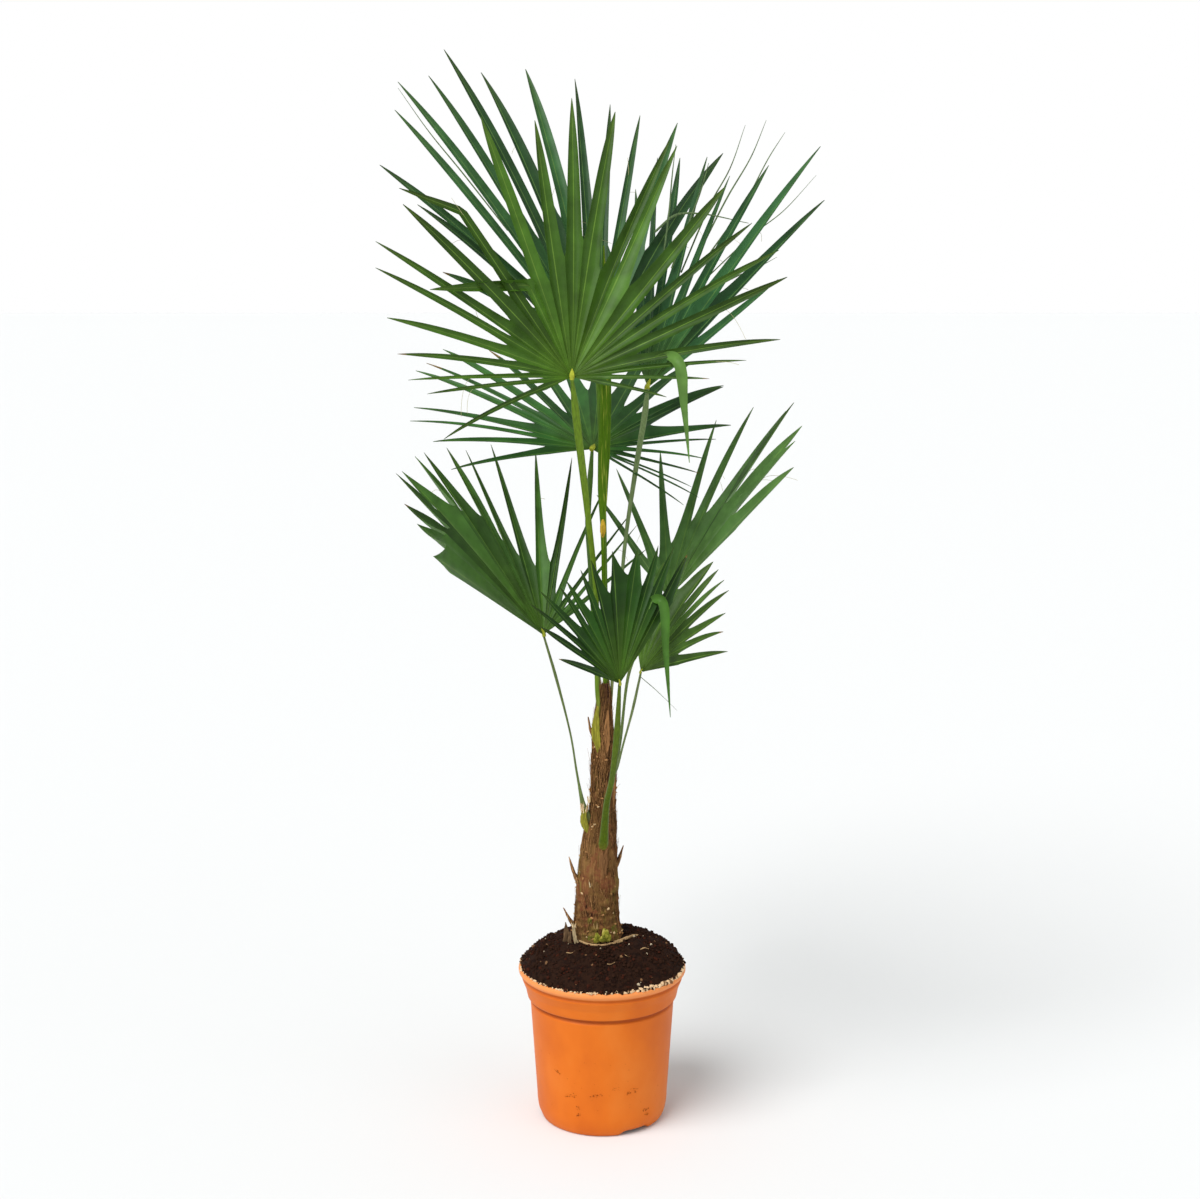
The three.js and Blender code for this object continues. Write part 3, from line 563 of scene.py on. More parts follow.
draw = np.random.default_rng(19)
height = 272.0 + 300.0 * draw.uniform(0.0, 1.0, FLECK_COUNT) ** 1.8
turn = draw.uniform(0.0, 2.0 * np.pi, FLECK_COUNT)
x, y, radius = trunk_at(height)
kind = draw.choice(2, FLECK_COUNT, p=[0.7, 0.3])
flecks = lumps("bark_flecks", around(turn, radius + 0.4, height, x, y),
               draw.uniform(0.5, 1.5, FLECK_COUNT), draw,
               [plain_finish("tan_bark_fleck", tone(BARK_TAN), 0.9),
                plain_finish("pale_bark_fleck", tone(BARK_PALE), 0.9)], kind, 1.7)
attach(flecks, "root")


# Loose fibres of the sheaths: brown threads that lie along the trunk and stray off it at their
# ends.
FIBRE_COUNT = 2600
FIBRES = {"dark_fibre": BARK_DARK, "brown_fibre": BARK_BROWN, "tan_fibre": BARK_TAN}


def strands(lines, radii, sides=3):
    """Thin rods along many lines at once: round each point, `sides` points at its radius, square to
    the line between its neighbours. lines is shaped (count, points, 3), radii (count, points)."""
    along = np.gradient(lines, axis=1)
    along /= np.linalg.norm(along, axis=-1, keepdims=True)
    helper = np.where(np.abs(along[..., 2:]) > 0.9, [1.0, 0.0, 0.0], [0.0, 0.0, 1.0])
    across = np.cross(along, helper)
    across /= np.linalg.norm(across, axis=-1, keepdims=True)
    out = np.cross(along, across)
    turn = full_turn(sides)[:, None]
    ring = across[:, :, None] * np.cos(turn) + out[:, :, None] * np.sin(turn)
    return lines[:, :, None] + ring * radii[:, :, None, None]


draw = np.random.default_rng(77)
share = np.linspace(0.0, 1.0, 7)[None]
foot = draw.uniform(275.0, 600.0, (FIBRE_COUNT, 1))
height = np.minimum(foot + draw.uniform(14.0, 60.0, (FIBRE_COUNT, 1)) * share, 640.0)
turn = (draw.uniform(0.0, 2.0 * np.pi, (FIBRE_COUNT, 1))
        + draw.normal(0.0, 0.34, (FIBRE_COUNT, 1)) * share)
off = -0.4 + draw.exponential(1.0, (FIBRE_COUNT, 1)) * share ** 2
x, y, radius = trunk_at(height)
kind = draw.choice(3, FIBRE_COUNT, p=[0.2, 0.58, 0.22])[:, None, None]
thickness = np.broadcast_to(0.32 * (1.0 - 0.6 * share), height.shape)
fibres = skin("trunk_fibres", strands(around(turn, radius + off, height, x, y), thickness),
              [plain_finish(name, tone(brown), 0.85) for name, brown in FIBRES.items()], kind)
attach(fibres, "root")


# Old leaf bases: the dry, split stubs that shed leaves leave on the trunk, each a flat tongue that
# stands off it and ends in a frayed point.
LEAF_BASES = [
    dict(turn=-170, foot=352, tip=386, reach=17, width=17),
    dict(turn=8, foot=372, tip=399, reach=10, width=14),
    dict(turn=-176, foot=562, tip=588, reach=8, width=12),
    dict(turn=-162, foot=287, tip=313, reach=19, width=19),
    dict(turn=96, foot=330, tip=370, reach=12, width=16),
    dict(turn=58, foot=418, tip=452, reach=11, width=14),
    dict(turn=128, foot=498, tip=530, reach=10, width=12),
]


def smooth_line(corners, count):
    """A smooth curve through corners, and the way along it: between two corners the curve is the
    cubic whose slope at each is that of its neighbours' parabola, with the square roots of the
    corners' distances as its time."""
    corners = np.array(corners, float)
    corners = np.concatenate([[2.0 * corners[0] - corners[1]], corners,
                              [2.0 * corners[-1] - corners[-2]]])
    place = np.linspace(0.0, len(corners) - 3.0, count)
    first = np.minimum(place.astype(int), len(corners) - 4)
    share = (place - first)[:, None]
    before, start, end, after = [corners[first + step] for step in range(4)]
    time_in, time, time_out = [
        np.sqrt(np.linalg.norm(b - a, axis=1))[:, None]
        for a, b in ((before, start), (start, end), (end, after))]
    slope_start = ((start - before) / time_in - (end - before) / (time_in + time)
                   + (end - start) / time) * time
    slope_end = ((end - start) / time - (after - start) / (time + time_out)
                 + (after - end) / time_out) * time
    points = (start + slope_start * share
              + (3.0 * (end - start) - 2.0 * slope_start - slope_end) * share ** 2
              + (2.0 * (start - end) + slope_start + slope_end) * share ** 3)
    along = np.gradient(points, axis=0)
    return points, along / np.linalg.norm(along, axis=1, keepdims=True)


def limb(corners, widths, depths, face, rows, sides, hollow=0.0):
    """Rings along a smooth curve: ellipses as wide as widths square to `face`, and as deep as
    depths along it. `hollow` flattens the side towards `face` by that share of its depth."""
    points, along = smooth_line(corners, rows)
    share = np.linspace(0.0, 1.0, rows)
    width, depth = [np.interp(share, np.linspace(0.0, 1.0, len(sizes)), sizes)[:, None, None]
                    for sizes in (widths, depths)]
    across = np.cross(along, face)
    across /= np.linalg.norm(across, axis=1, keepdims=True)
    out = np.cross(across, along)
    turn = np.linspace(0.0, -2.0 * np.pi, sides, endpoint=False)[:, None]
    upper = np.maximum(np.sin(turn), 0.0)
    return (points[:, None] + across[:, None] * np.cos(turn) * width / 2.0
            + out[:, None] * (np.sin(turn) - hollow * upper ** 2) * depth / 2.0)


def swollen(rings, amount):
    """Rings whose points move away from their ring's middle by a share of the way from it."""
    return rings + (rings - rings.mean(2, keepdims=True)) * amount[..., None]


def leaf_base(turn, foot, tip, reach, width):
    """A tongue off the trunk: a limb from inside it to a tip that stands `reach` off it."""
    way = np.array([math.cos(math.radians(turn)), math.sin(math.radians(turn)), 0])
    rise = tip - foot
    corners = []
    for height, off in ((foot - rise / 3.0, -6.0), (foot + rise / 4.0, reach / 3.0), (tip, reach)):
        x, y, radius = trunk_at(height)
        corners.append([x + way[0] * (radius + off), y + way[1] * (radius + off), height])
    return limb(corners, [width, width, width * 0.75, width / 5.0], [9, 6, 3.5, 1.5], way, 36, 20)


rings = np.stack([leaf_base(**base) for base in LEAF_BASES])
ridge = 0.35 * cloud(rings / [1.0, 1.0, 9.0], 1.7, 41) + 0.5 * cloud(rings, 6.0, 42)
dry_base = grained_finish("dry_leaf_base", tone(BARK_TAN), 0.85,
                          [tone(BARK_DARK), tone(BARK_BROWN), tone(BARK_TAN), tone(BARK_PALE)],
                          (1.5, 22.0, 5.0), (0.8, 12.0), 0.5)
leaf_bases = skin("old_leaf_bases", swollen(rings, ridge * 0.5), [dry_base], sharp=60.0)
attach(leaf_bases, "root")
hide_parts(*[f"old_leaf_base_{number}" for number in range(1, 8)])


# Husks and young sheaths: split skins of leaf feet that still cling to the trunk. The grey ones
# stand at its foot on the left, and the tan and yellow-green ones wrap the stems that leave it.
HUSKS = [
    dict(line=[[-46, -17, 258], [-50, -19, 273], [-52, -15, 292]], widths=[16, 15, 8, 1], kind=0),
    dict(line=[[-33, -31, 257], [-39, -30, 275], [-41, -24, 293]], widths=[5, 6, 5, 2], kind=1),
    dict(line=[[-43, -26, 256], [-46, -27, 268], [-45, -24, 281]], widths=[6, 7, 5, 2], kind=0),
    dict(line=[[13, -10, 452], [15, -12, 500], [18, -13, 545]], widths=[6, 9, 8, 2], kind=2),
    dict(line=[[-4, -14, 540], [-9, -13, 572], [-6, -11, 606]], widths=[6, 12, 10, 3], kind=3),
    dict(line=[[3, -15, 528], [6, -14, 562], [8, -11, 600]], widths=[7, 11, 8, 3], kind=2),
    dict(line=[[-4, -26, 352], [-2, -25.5, 378], [-1, -26, 402]], widths=[8, 15, 13, 2], kind=4),
    dict(line=[[4, -27, 366], [5, -26, 390], [7, -24, 414]], widths=[4, 7, 5, 1.5], kind=4),
    dict(line=[[-19, -14, 424], [-26, -16, 440], [-25, -15, 458]], widths=[6, 10, 10, 7], kind=3),
]
HUSK_TONES = {"brown_husk": (88, 68, 48), "pale_husk": (152, 134, 102), "tan_sheath": (138, 98, 60),
              "yellow_sheath": (132, 128, 44), "fibrous_sheath": (112, 78, 48)}
HUSK_DEPTH = 0.34


def husk_finish(name, seen):
    """A dry skin of one colour, with fine streaks along it."""
    colours = [tone(seen, shade) for shade in (0.35, 0.8, 1.0, 1.5)]
    return grained_finish(name, tone(seen), 0.85, colours, (1.3, 20.0, 5.0), (0.8, 10.0), 0.4)


rings = np.stack([limb(husk["line"], husk["widths"], HUSK_DEPTH * np.array(husk["widths"], float),
                       [-0.2, -1.0, 0.0], 40, 24, 0.5) for husk in HUSKS])
ridge = 0.12 * cloud(rings / [1.0, 1.0, 12.0], 1.3, 52) + 0.12 * cloud(rings, 4.0, 53)
kinds = np.array([husk["kind"] for husk in HUSKS])[:, None, None]
husks = skin("husks_and_young_sheaths", swollen(rings, ridge),
             [husk_finish(*husk) for husk in HUSK_TONES.items()], kinds, 60.0)
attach(husks, "root")


# Torn fringes: dry pale splinters of torn sheaths, round the foot of the left stem, on the trunk
# beside it, and at the tips of the husks.
FRINGES = [
    dict(at=[-25, -15, 460], spread=5.0, count=24, length=14.0),
    dict(at=[-18, -13, 472], spread=2.5, count=8, length=12.0),
    dict(at=[18, -13, 542], spread=3.0, count=8, length=9.0),
    dict(at=[-40, -24, 290], spread=3.0, count=8, length=8.0),
    dict(at=[-15, -26, 352], spread=3.5, count=9, length=9.0),
    dict(at=[-8, -30, 290], spread=7.0, count=12, length=16.0),
]
FRINGE_PALE = (214, 194, 156)
FRINGE_TAN = (168, 138, 92)

draw = np.random.default_rng(90)
share = np.linspace(0.0, 1.0, 6)
lines = []
for fringe in FRINGES:
    count = fringe["count"]
    turn = draw.uniform(0.0, 2.0 * np.pi, (count, 1))
    length = fringe["length"] * draw.uniform(0.5, 1.0, (count, 1))
    off = fringe["spread"] * (0.75 + 0.5 * share)
    rise = length * (share - 0.4) + draw.normal(0.0, 1.0, (count, 1))
    lines.append(fringe["at"] + np.stack([off * np.cos(turn), 0.5 * off * np.sin(turn), rise], -1))
lines = np.concatenate(lines)
radii = 0.9 * (1.0 - 0.85 * share) * np.ones((len(lines), 1))
kind = draw.choice(2, len(lines), p=[0.6, 0.4])[:, None, None]
fringes = skin("torn_fringes", strands(lines, radii, 5),
               [plain_finish("pale_torn_fringe", tone(FRINGE_PALE), 0.9),
                plain_finish("tan_torn_fringe", tone(FRINGE_TAN), 0.9)], kind)
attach(fringes, "root")


# Litter round the trunk's foot: a pale root collar in front of it, a dry tan stick that leads off
# to the right, and thin twigs on the soil.
LITTER = [
    dict(line=[[-33, -26, 268], [-17, -40, 267.5], [2, -42, 267.5], [20, -34, 268]], width=3.2),
    dict(line=[[18, -34, 268.5], [34, -16, 268], [48, 2, 266], [62, 8, 263]], width=4.4),
    dict(line=[[8, -38, 268], [24, -30, 267.5], [38, -14, 268]], width=3.0),
    dict(line=[[54, -46, 262.5], [60, -41, 263], [66, -40, 261]], width=1.8),
    dict(line=[[-50, -52, 260], [-44, -54, 260], [-38, -51, 262]], width=1.5),
    dict(line=[[7, -82, 254.5], [12, -83, 254.5], [18, -79, 256]], width=1.5),
    dict(line=[[-26, -66, 258], [-20, -70, 258], [-16, -78, 257]], width=1.4),
    dict(line=[[18, -62, 261], [27, -60, 261], [38, -66, 259]], width=1.6),
]
STICK_TONE = (172, 140, 100)


def twig(line, width):
    """A round twig that thins to its end."""
    return limb(line, [width, width, width * 0.4], [width, width, width * 0.4], [0.0, 0.0, 1.0], 30, 12)


rings = np.stack([twig(**piece) for piece in LITTER])
litter = skin("litter_at_the_foot", swollen(rings, 0.3 * cloud(rings, 2.5, 61)),
              [husk_finish("dry_stick", STICK_TONE)], sharp=60.0)
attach(litter, "root")


# The side bud at the trunk's foot: a small clump of young green scales, which stand out from the
# bark in front.
BUD_SCALES = [
    dict(foot=[-4, -34, 272], tip=[-8, -42, 285], width=8),
    dict(foot=[4, -34, 272], tip=[7, -42, 290], width=9),
    dict(foot=[0, -35, 272], tip=[0, -45, 281], width=9),
    dict(foot=[7, -33, 271], tip=[11, -40, 282], width=7),
    dict(foot=[-6, -33, 270], tip=[-11, -40, 277], width=7),
    dict(foot=[2, -34, 274], tip=[3, -39, 291], width=6),
]
BUD_TONES = [(70, 74, 22), (112, 112, 36), (136, 132, 46), (178, 162, 88)]


def bud_scale(foot, tip, width):
    """A pointed scale: a limb that swells and then narrows from its foot to its tip."""
    middle = np.add(foot, tip) / 2.0 + [0.0, -2.5, -1.0]
    return limb([foot, middle, tip], [width * 0.7, width * 1.1, width, 3.5], [6, 6, 4, 2.5],
                [0.0, -1.0, 0.0], 20, 16)


young_green = grained_finish("young_green", tone((112, 128, 40)), 0.7,
                             [tone(seen) for seen in BUD_TONES], (3.0, 5.0, 5.0))
bud = skin("foot_bud_scales", np.stack([bud_scale(**scale) for scale in BUD_SCALES]), [young_green])
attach(bud, "root")
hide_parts("foot_bud")


# The leaf stems: smooth green petioles, flat on their upper side, which leave the trunk among the
# sheaths and carry one fan each. Their feet are paler, and brown where they enter a sheath.
FANS = {
    "upper_front": dict(
        hub=[-40, -105, 1069], lean=101, rise=78, roll=2, span=(-109, 104),
        count=24, seed=776, reach=[210, 265, 335, 360, 345, 325, 135],
        split=[0.2, 0.35, 0.43, 0.36, 0.2], sag=0.04, cup=17,
        leaf=(68, 106, 30), stem_tone=(112, 144, 30),
        short={9: 0.75},
        bends={8: dict(place=0.74, turn=-38, lift=6), 9: dict(place=0.5, turn=-70, lift=12)},
        hanging=dict(leaflet=20, place=0.46, out=16, drop=150, width=17),
        stem=[[-3, -6, 585], [-7, -12, 629], [-8, -30, 761], [-19, -55, 878], [-33, -88, 1003]],
        widths=[7, 6, 6, 7, 8, 10, 11, 4],
    ),
    "upper_back": dict(
        hub=[-6, 62, 1084], lean=117, rise=71, roll=2, span=(-61, 35),
        count=14, seed=394, reach=[275, 440, 455, 480, 435, 430],
        split=[0.35, 0.42, 0.42, 0.4], sag=0.095, cup=15,
        leaf=(60, 102, 56), stem_tone=(92, 130, 34),
        stem=[[6, 10, 590], [7, 16, 650], [4, 28, 780], [0, 38, 940], [-4, 46, 1050]],
        widths=[7, 6, 6, 8, 9, 10, 4],
    ),
    "upper_right": dict(
        hub=[66, 150, 1041], lean=62, rise=70, roll=-14, span=(-25, 57),
        count=10, seed=334, reach=[290, 335, 360, 325, 455, 270],
        split=[0.4, 0.42, 0.4, 0.35], sag=0.01, cup=16,
        leaf=(56, 102, 58), stem_tone=(124, 146, 92),
        stem=[[12, 2, 590], [15, 10, 650], [25, 28, 750], [33, 46, 834], [48, 62, 935],
              [61, 108, 1006]],
        widths=[6, 5, 5, 5, 6, 8, 9, 4],
    ),
    "middle_back": dict(
        hub=[-14, 95, 957], lean=82, rise=26, roll=11, span=(-114, 119),
        count=22, seed=207, reach=[210, 285, 350, 390, 260, 150, 170],
        split=[0.3, 0.3, 0.35, 0.4, 0.35, 0.2, 0.15], sag=0.04, cup=0,
        leaf=(54, 102, 42), stem_tone=(74, 108, 36),
        stem=[[0, 6, 590], [-6, 12, 653], [-14, 30, 750], [-17, 45, 804], [-20, 62, 859],
              [-17, 82, 914]],
        widths=[6, 6, 6, 7, 8, 8, 8, 4],
    ),
    "left": dict(
        hub=[-83, 32, 700], lean=159, rise=58, roll=-14, span=(-59, 79),
        count=16, seed=192, reach=[325, 320, 315, 320, 310, 275, 205],
        split=[0.86, 0.76, 0.6, 0.48, 0.32, 0.22, 0.25], sag=0.03, cup=40,
        narrowing=0.7, pale=[0, 1],
        leaf=(72, 114, 44), stem_tone=(104, 122, 66),
        stem=[[-14, -8, 425], [-24, -11, 452], [-29, -9, 473], [-36, -6, 511], [-44, 1, 560],
              [-63, 13, 635]],
        widths=[15, 13, 7, 3.6, 2.8, 2.8, 4.4, 3],
    ),
    "right": dict(
        hub=[96, 110, 740], lean=51, rise=58, roll=-8, span=(-46, 53),
        count=10, seed=671, reach=[235, 275, 350, 330, 320, 290],
        split=[0.3, 0.3, 0.35, 0.48, 0.55, 0.55, 0.5], sag=0.045, cup=35,
        narrowing=0.6, pale=[7, 9],
        leaf=(86, 126, 62), stem_tone=(116, 138, 76),
        stem=[[8, 8, 470], [17, 20, 499], [26, 38, 545], [39, 68, 638], [58, 85, 682]],
        widths=[9, 7, 5, 4, 5, 7, 4],
    ),
    "lower_front": dict(
        hub=[23, -152, 669], lean=112, rise=77, roll=16, span=(-68, 37),
        count=13, seed=113, reach=[130, 185, 150, 170, 185, 215],
        split=[0.45, 0.5, 0.55, 0.65, 0.75, 0.75, 0.6], fold=30, sag=0.025, cup=16,
        leaf=(38, 78, 16), stem_tone=(90, 114, 14),
        hanging=dict(leaflet=11, place=0.6, out=14, drop=186, width=15),
        stem=[[0, -18, 395], [2, -31, 415], [4, -55, 454], [7, -80, 490], [13, -105, 525],
              [19, -132, 587]],
        widths=[15, 14, 11, 9, 8, 8, 9, 4],
    ),
    "lower_right": dict(
        hub=[53, -64, 666], lean=50, rise=58, roll=-5, span=(-24, 75),
        count=10, seed=420, reach=[195, 180, 178, 172, 162, 165],
        split=[0.65, 0.65, 0.6, 0.55, 0.5, 0.5], fold=30, sag=0.07, cup=14,
        leaf=(74, 108, 42), stem_tone=(120, 138, 84),
        stem=[[8, -8, 495], [19, -25, 518], [31, -46, 567], [42, -56, 612]],
        widths=[9, 6, 3, 3, 4, 3],
    ),
}
PETIOLE_THICKNESS = 0.7
PETIOLE_ROWS = 90
PETIOLE_SIDES = 20
STEM_FOOT = (150, 140, 70)


def petiole(fan):
    """A leaf stem: a limb along its corners to the fan's hub, flattened on its front, with a foot
    that narrows as it comes out of its sheath."""
    widths = np.array([fan["widths"][0] * 0.4, *fan["widths"][1:]])
    return limb([*fan["stem"], fan["hub"]], widths, widths * PETIOLE_THICKNESS, [0.0, -1.0, 0.0],
                PETIOLE_ROWS, PETIOLE_SIDES, 0.35)


def flow_of(finish):
    """The UV map of a stem or a blade: across it, and along it from its foot."""
    flow = add_node(finish, "ShaderNodeUVMap")
    flow.uv_map = "flow"
    return flow.outputs[0]


def stem_finish(name, seen):
    """A waxy stem: brown, then yellowish, then its own green along its UV map, streaked lighter and
    darker."""
    finish = plain_finish(name, tone(seen), 0.4, 0.2)
    foot = 0.5 * np.array(seen) + 0.5 * np.array(STEM_FOOT)
    greens = blended(finish, part_of(finish, flow_of(finish), "Y"),
                     [tone(BARK_TAN), tone(foot), tone(seen), tone(seen)], 0.0, 0.3)
    streaks = blended(finish, grain(finish, 2.0, 50.0, 4.0),
                      [(0.5, 0.5, 0.5, 1.0), (0.85, 0.85, 0.85, 1.0)])
    feed(finish, mixed(finish, 1.0, greens, streaks, "MULTIPLY"))
    raised(finish, grain(finish, 0.9, 40.0), 0.15)
    return finish


stem_flow = np.stack(np.meshgrid(np.linspace(0.0, 1.0, PETIOLE_SIDES),
                                 np.linspace(0.0, 1.0, PETIOLE_ROWS)), -1)
for fan_name, fan in FANS.items():
    green = stem_finish(f"petiole_{fan_name}_green", fan["stem_tone"])
    stem = skin(f"petiole_{fan_name}_stem", petiole(fan)[None], [green], flow=stem_flow)
    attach(stem, "root")
    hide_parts(f"petiole_{fan_name}")


# The fans: each blade is pleated and united round its hub, and parts further out into stiff
# V-folded leaflets, every one with a pale rib, a point, and here and there a dry brown tip.
ANGLE_STRAY = 0.28
REACH_STRAY = 0.05
RUFFLE = 2.0
WAVE = 4.0
SAG_STRAY = 0.5
SWEEP = 0.035
TWIST = 22.0
SPLIT_STRAY = 0.07
UNBENT = dict(place=1.0, turn=0.0, lift=0.0)
FOLD = 29
TIP_TAPER = 8.0
TAPER_LEAST = 1.6
NARROWING = 0.5
NARROWING_POWER = 0.45
DRAWS_PER_LEAFLET = 7
DRAW_FACTOR = 48271
DRAW_MODULUS = 2147483647
UNITED_ROWS = 14
FREE_ROWS = 30
BLADE_ROWS = UNITED_ROWS + FREE_ROWS
FREE_END = 0.985
HUB_START = 3.0
COLUMNS = np.array([-1.0, -0.72, -0.4, -0.06, 0.06, 0.4, 0.72, 1.0])
COLUMN_THICKNESS = np.array([0.45, 0.8, 1.0, 1.7, 1.7, 1.0, 0.8, 0.45])
RIB_COLUMNS = [3, 11]
LIGHT_KIND = 2
RIB_KIND = 3
UNDERSIDE_KIND = 4
DRY_KIND = 5
BLADE_THICKNESS = 1.0
BULGE = 0.1
LEAF_SHADES = {"dark": 0.56, "green": 0.78, "light": 1.06}
RIB_TONE = (158, 182, 80)
UNDERSIDE_TONE = (116, 142, 84)
DRY_TIP = (128, 104, 58)
HUB_YELLOW = (0.08, 0.16, 0.005)
TIP_DULL = (0.10, 0.09, 0.02)
DRY_SHARE = 0.16


def unit(vectors):
    """Vectors divided by their own length."""
    return vectors / np.linalg.norm(vectors, axis=-1, keepdims=True)


def leaflets_of(fan):
    """The leaflets of a fan, by the fan rule. The axis leaves the hub at the compass turn `lean` and
    the slope `rise`, and `roll` turns the blade's face about it. Leaflet n lies at the angle
    start + n * step, strayed by a share of a step, and is lifted towards the face by cup * (1 - cos)
    and a wave. Its reach and its united share lie on straight lines through the fan's `reach` and
    `split`. Draw k is seed * DRAW_FACTOR to the power k, modulo DRAW_MODULUS, as -1 to 1."""
    lean, rise, roll = [math.radians(fan[key]) for key in ("lean", "rise", "roll")]
    ahead = np.array([math.cos(lean), math.sin(lean), 0.0])
    up = np.array([0.0, 0.0, 1.0])
    axis = math.cos(rise) * ahead + math.sin(rise) * up
    upright = -math.sin(rise) * ahead + math.cos(rise) * up
    face = upright * math.cos(roll) + np.cross(axis, upright) * math.sin(roll)
    side = np.cross(axis, face)
    count = fan["count"]
    states = [fan["seed"] * pow(DRAW_FACTOR, power, DRAW_MODULUS) % DRAW_MODULUS
              for power in range(1, count * DRAWS_PER_LEAFLET + 1)]
    draws = (np.array(states) / DRAW_MODULUS * 2.0 - 1.0).reshape(count, DRAWS_PER_LEAFLET)
    number = np.arange(count)
    start, end = fan["span"]
    step = (end - start) / (count - 1)
    angle = np.radians(start + step * (number + ANGLE_STRAY * draws[:, 0]))
    shortened = np.array([fan.get("short", {}).get(place, 1.0) for place in range(count)])
    reach, united = [np.interp(number / (count - 1), np.linspace(0.0, 1.0, len(fan[key])), fan[key])
                     for key in ("reach", "split")]
    reach = reach * (1.0 + REACH_STRAY * draws[:, 1]) * shortened
    united = united + SPLIT_STRAY * draws[:, 6]
    waves = WAVE * np.sin(3.0 * angle + fan["seed"]) + RUFFLE * draws[:, 2]
    lift = np.radians(fan["cup"] * (1.0 - np.cos(angle)) + waves)
    cos_angle, sin_angle = np.cos(angle)[:, None], np.sin(angle)[:, None]
    cos_lift, sin_lift = np.cos(lift)[:, None], np.sin(lift)[:, None]
    flat = axis * cos_angle + side * sin_angle
    way = flat * cos_lift + face * sin_lift
    first = np.clip(np.arange(count + 1) - 1, 0, count - 2)
    second = np.clip(np.arange(count + 1), 1, count - 1)
    bends = [fan.get("bends", {}).get(place, UNBENT) for place in range(count)]
    return {
        "hub": np.array(fan["hub"], float),
        "half_step": math.radians(step) / 2.0,
        "reach": reach,
        "way": way,
        "upper": face * cos_lift - flat * sin_lift,
        "across": side * cos_angle - axis * sin_angle,
        "fall": way * (way @ up)[:, None] - up,
        "sag": fan["sag"] * (1.0 + SAG_STRAY * draws[:, 3]),
        "sweep": SWEEP * draws[:, 4],
        "twist": math.radians(TWIST) * draws[:, 5],
        "united": united,
        "split": (reach[first] + reach[second]) / 2.0 * united[first],
        "bend_place": np.array([bend["place"] for bend in bends]),
        "bend_turn": np.radians([bend["turn"] for bend in bends]),
        "bend_lift": np.radians([bend["lift"] for bend in bends]),
    }


def rib_points(leaflets, number, distance):
    """Points of ribs: hub + way * distance + fall * reach * sag * share cubed + across * reach *
    sweep * share squared, where share is the distance over the leaflet's reach. Past a bend, what
    is left of the distance turns aside by the bend's turn and rises by the tangent of its lift."""
    reach = leaflets["reach"][number]
    share = distance / reach
    past = np.maximum(0.0, distance - reach * leaflets["bend_place"][number])
    turn, lift = leaflets["bend_turn"][number], leaflets["bend_lift"][number]
    ahead = (distance - past * (1.0 - np.cos(turn)))[..., None]
    sagged = (reach * leaflets["sag"][number] * share ** 3)[..., None]
    swept = (reach * leaflets["sweep"][number] * share ** 2 + past * np.sin(turn))[..., None]
    risen = (past * np.tan(lift))[..., None]
    return (leaflets["hub"] + leaflets["way"][number] * ahead + leaflets["fall"][number] * sagged
            + leaflets["across"][number] * swept + leaflets["upper"][number] * risen)


def rib_frames(leaflets, number, distance):
    """Points of ribs with the way across the leaflet and the way out of its upper face, from the
    points a millimetre ahead and behind."""
    number = np.broadcast_to(number, distance.shape)
    ahead = rib_points(leaflets, number, distance + 1.0)
    behind = rib_points(leaflets, number, np.maximum(distance - 1.0, 0.0))
    along = unit(ahead - behind)
    across = unit(np.cross(along, leaflets["upper"][number]))
    return rib_points(leaflets, number, distance), across, np.cross(across, along)


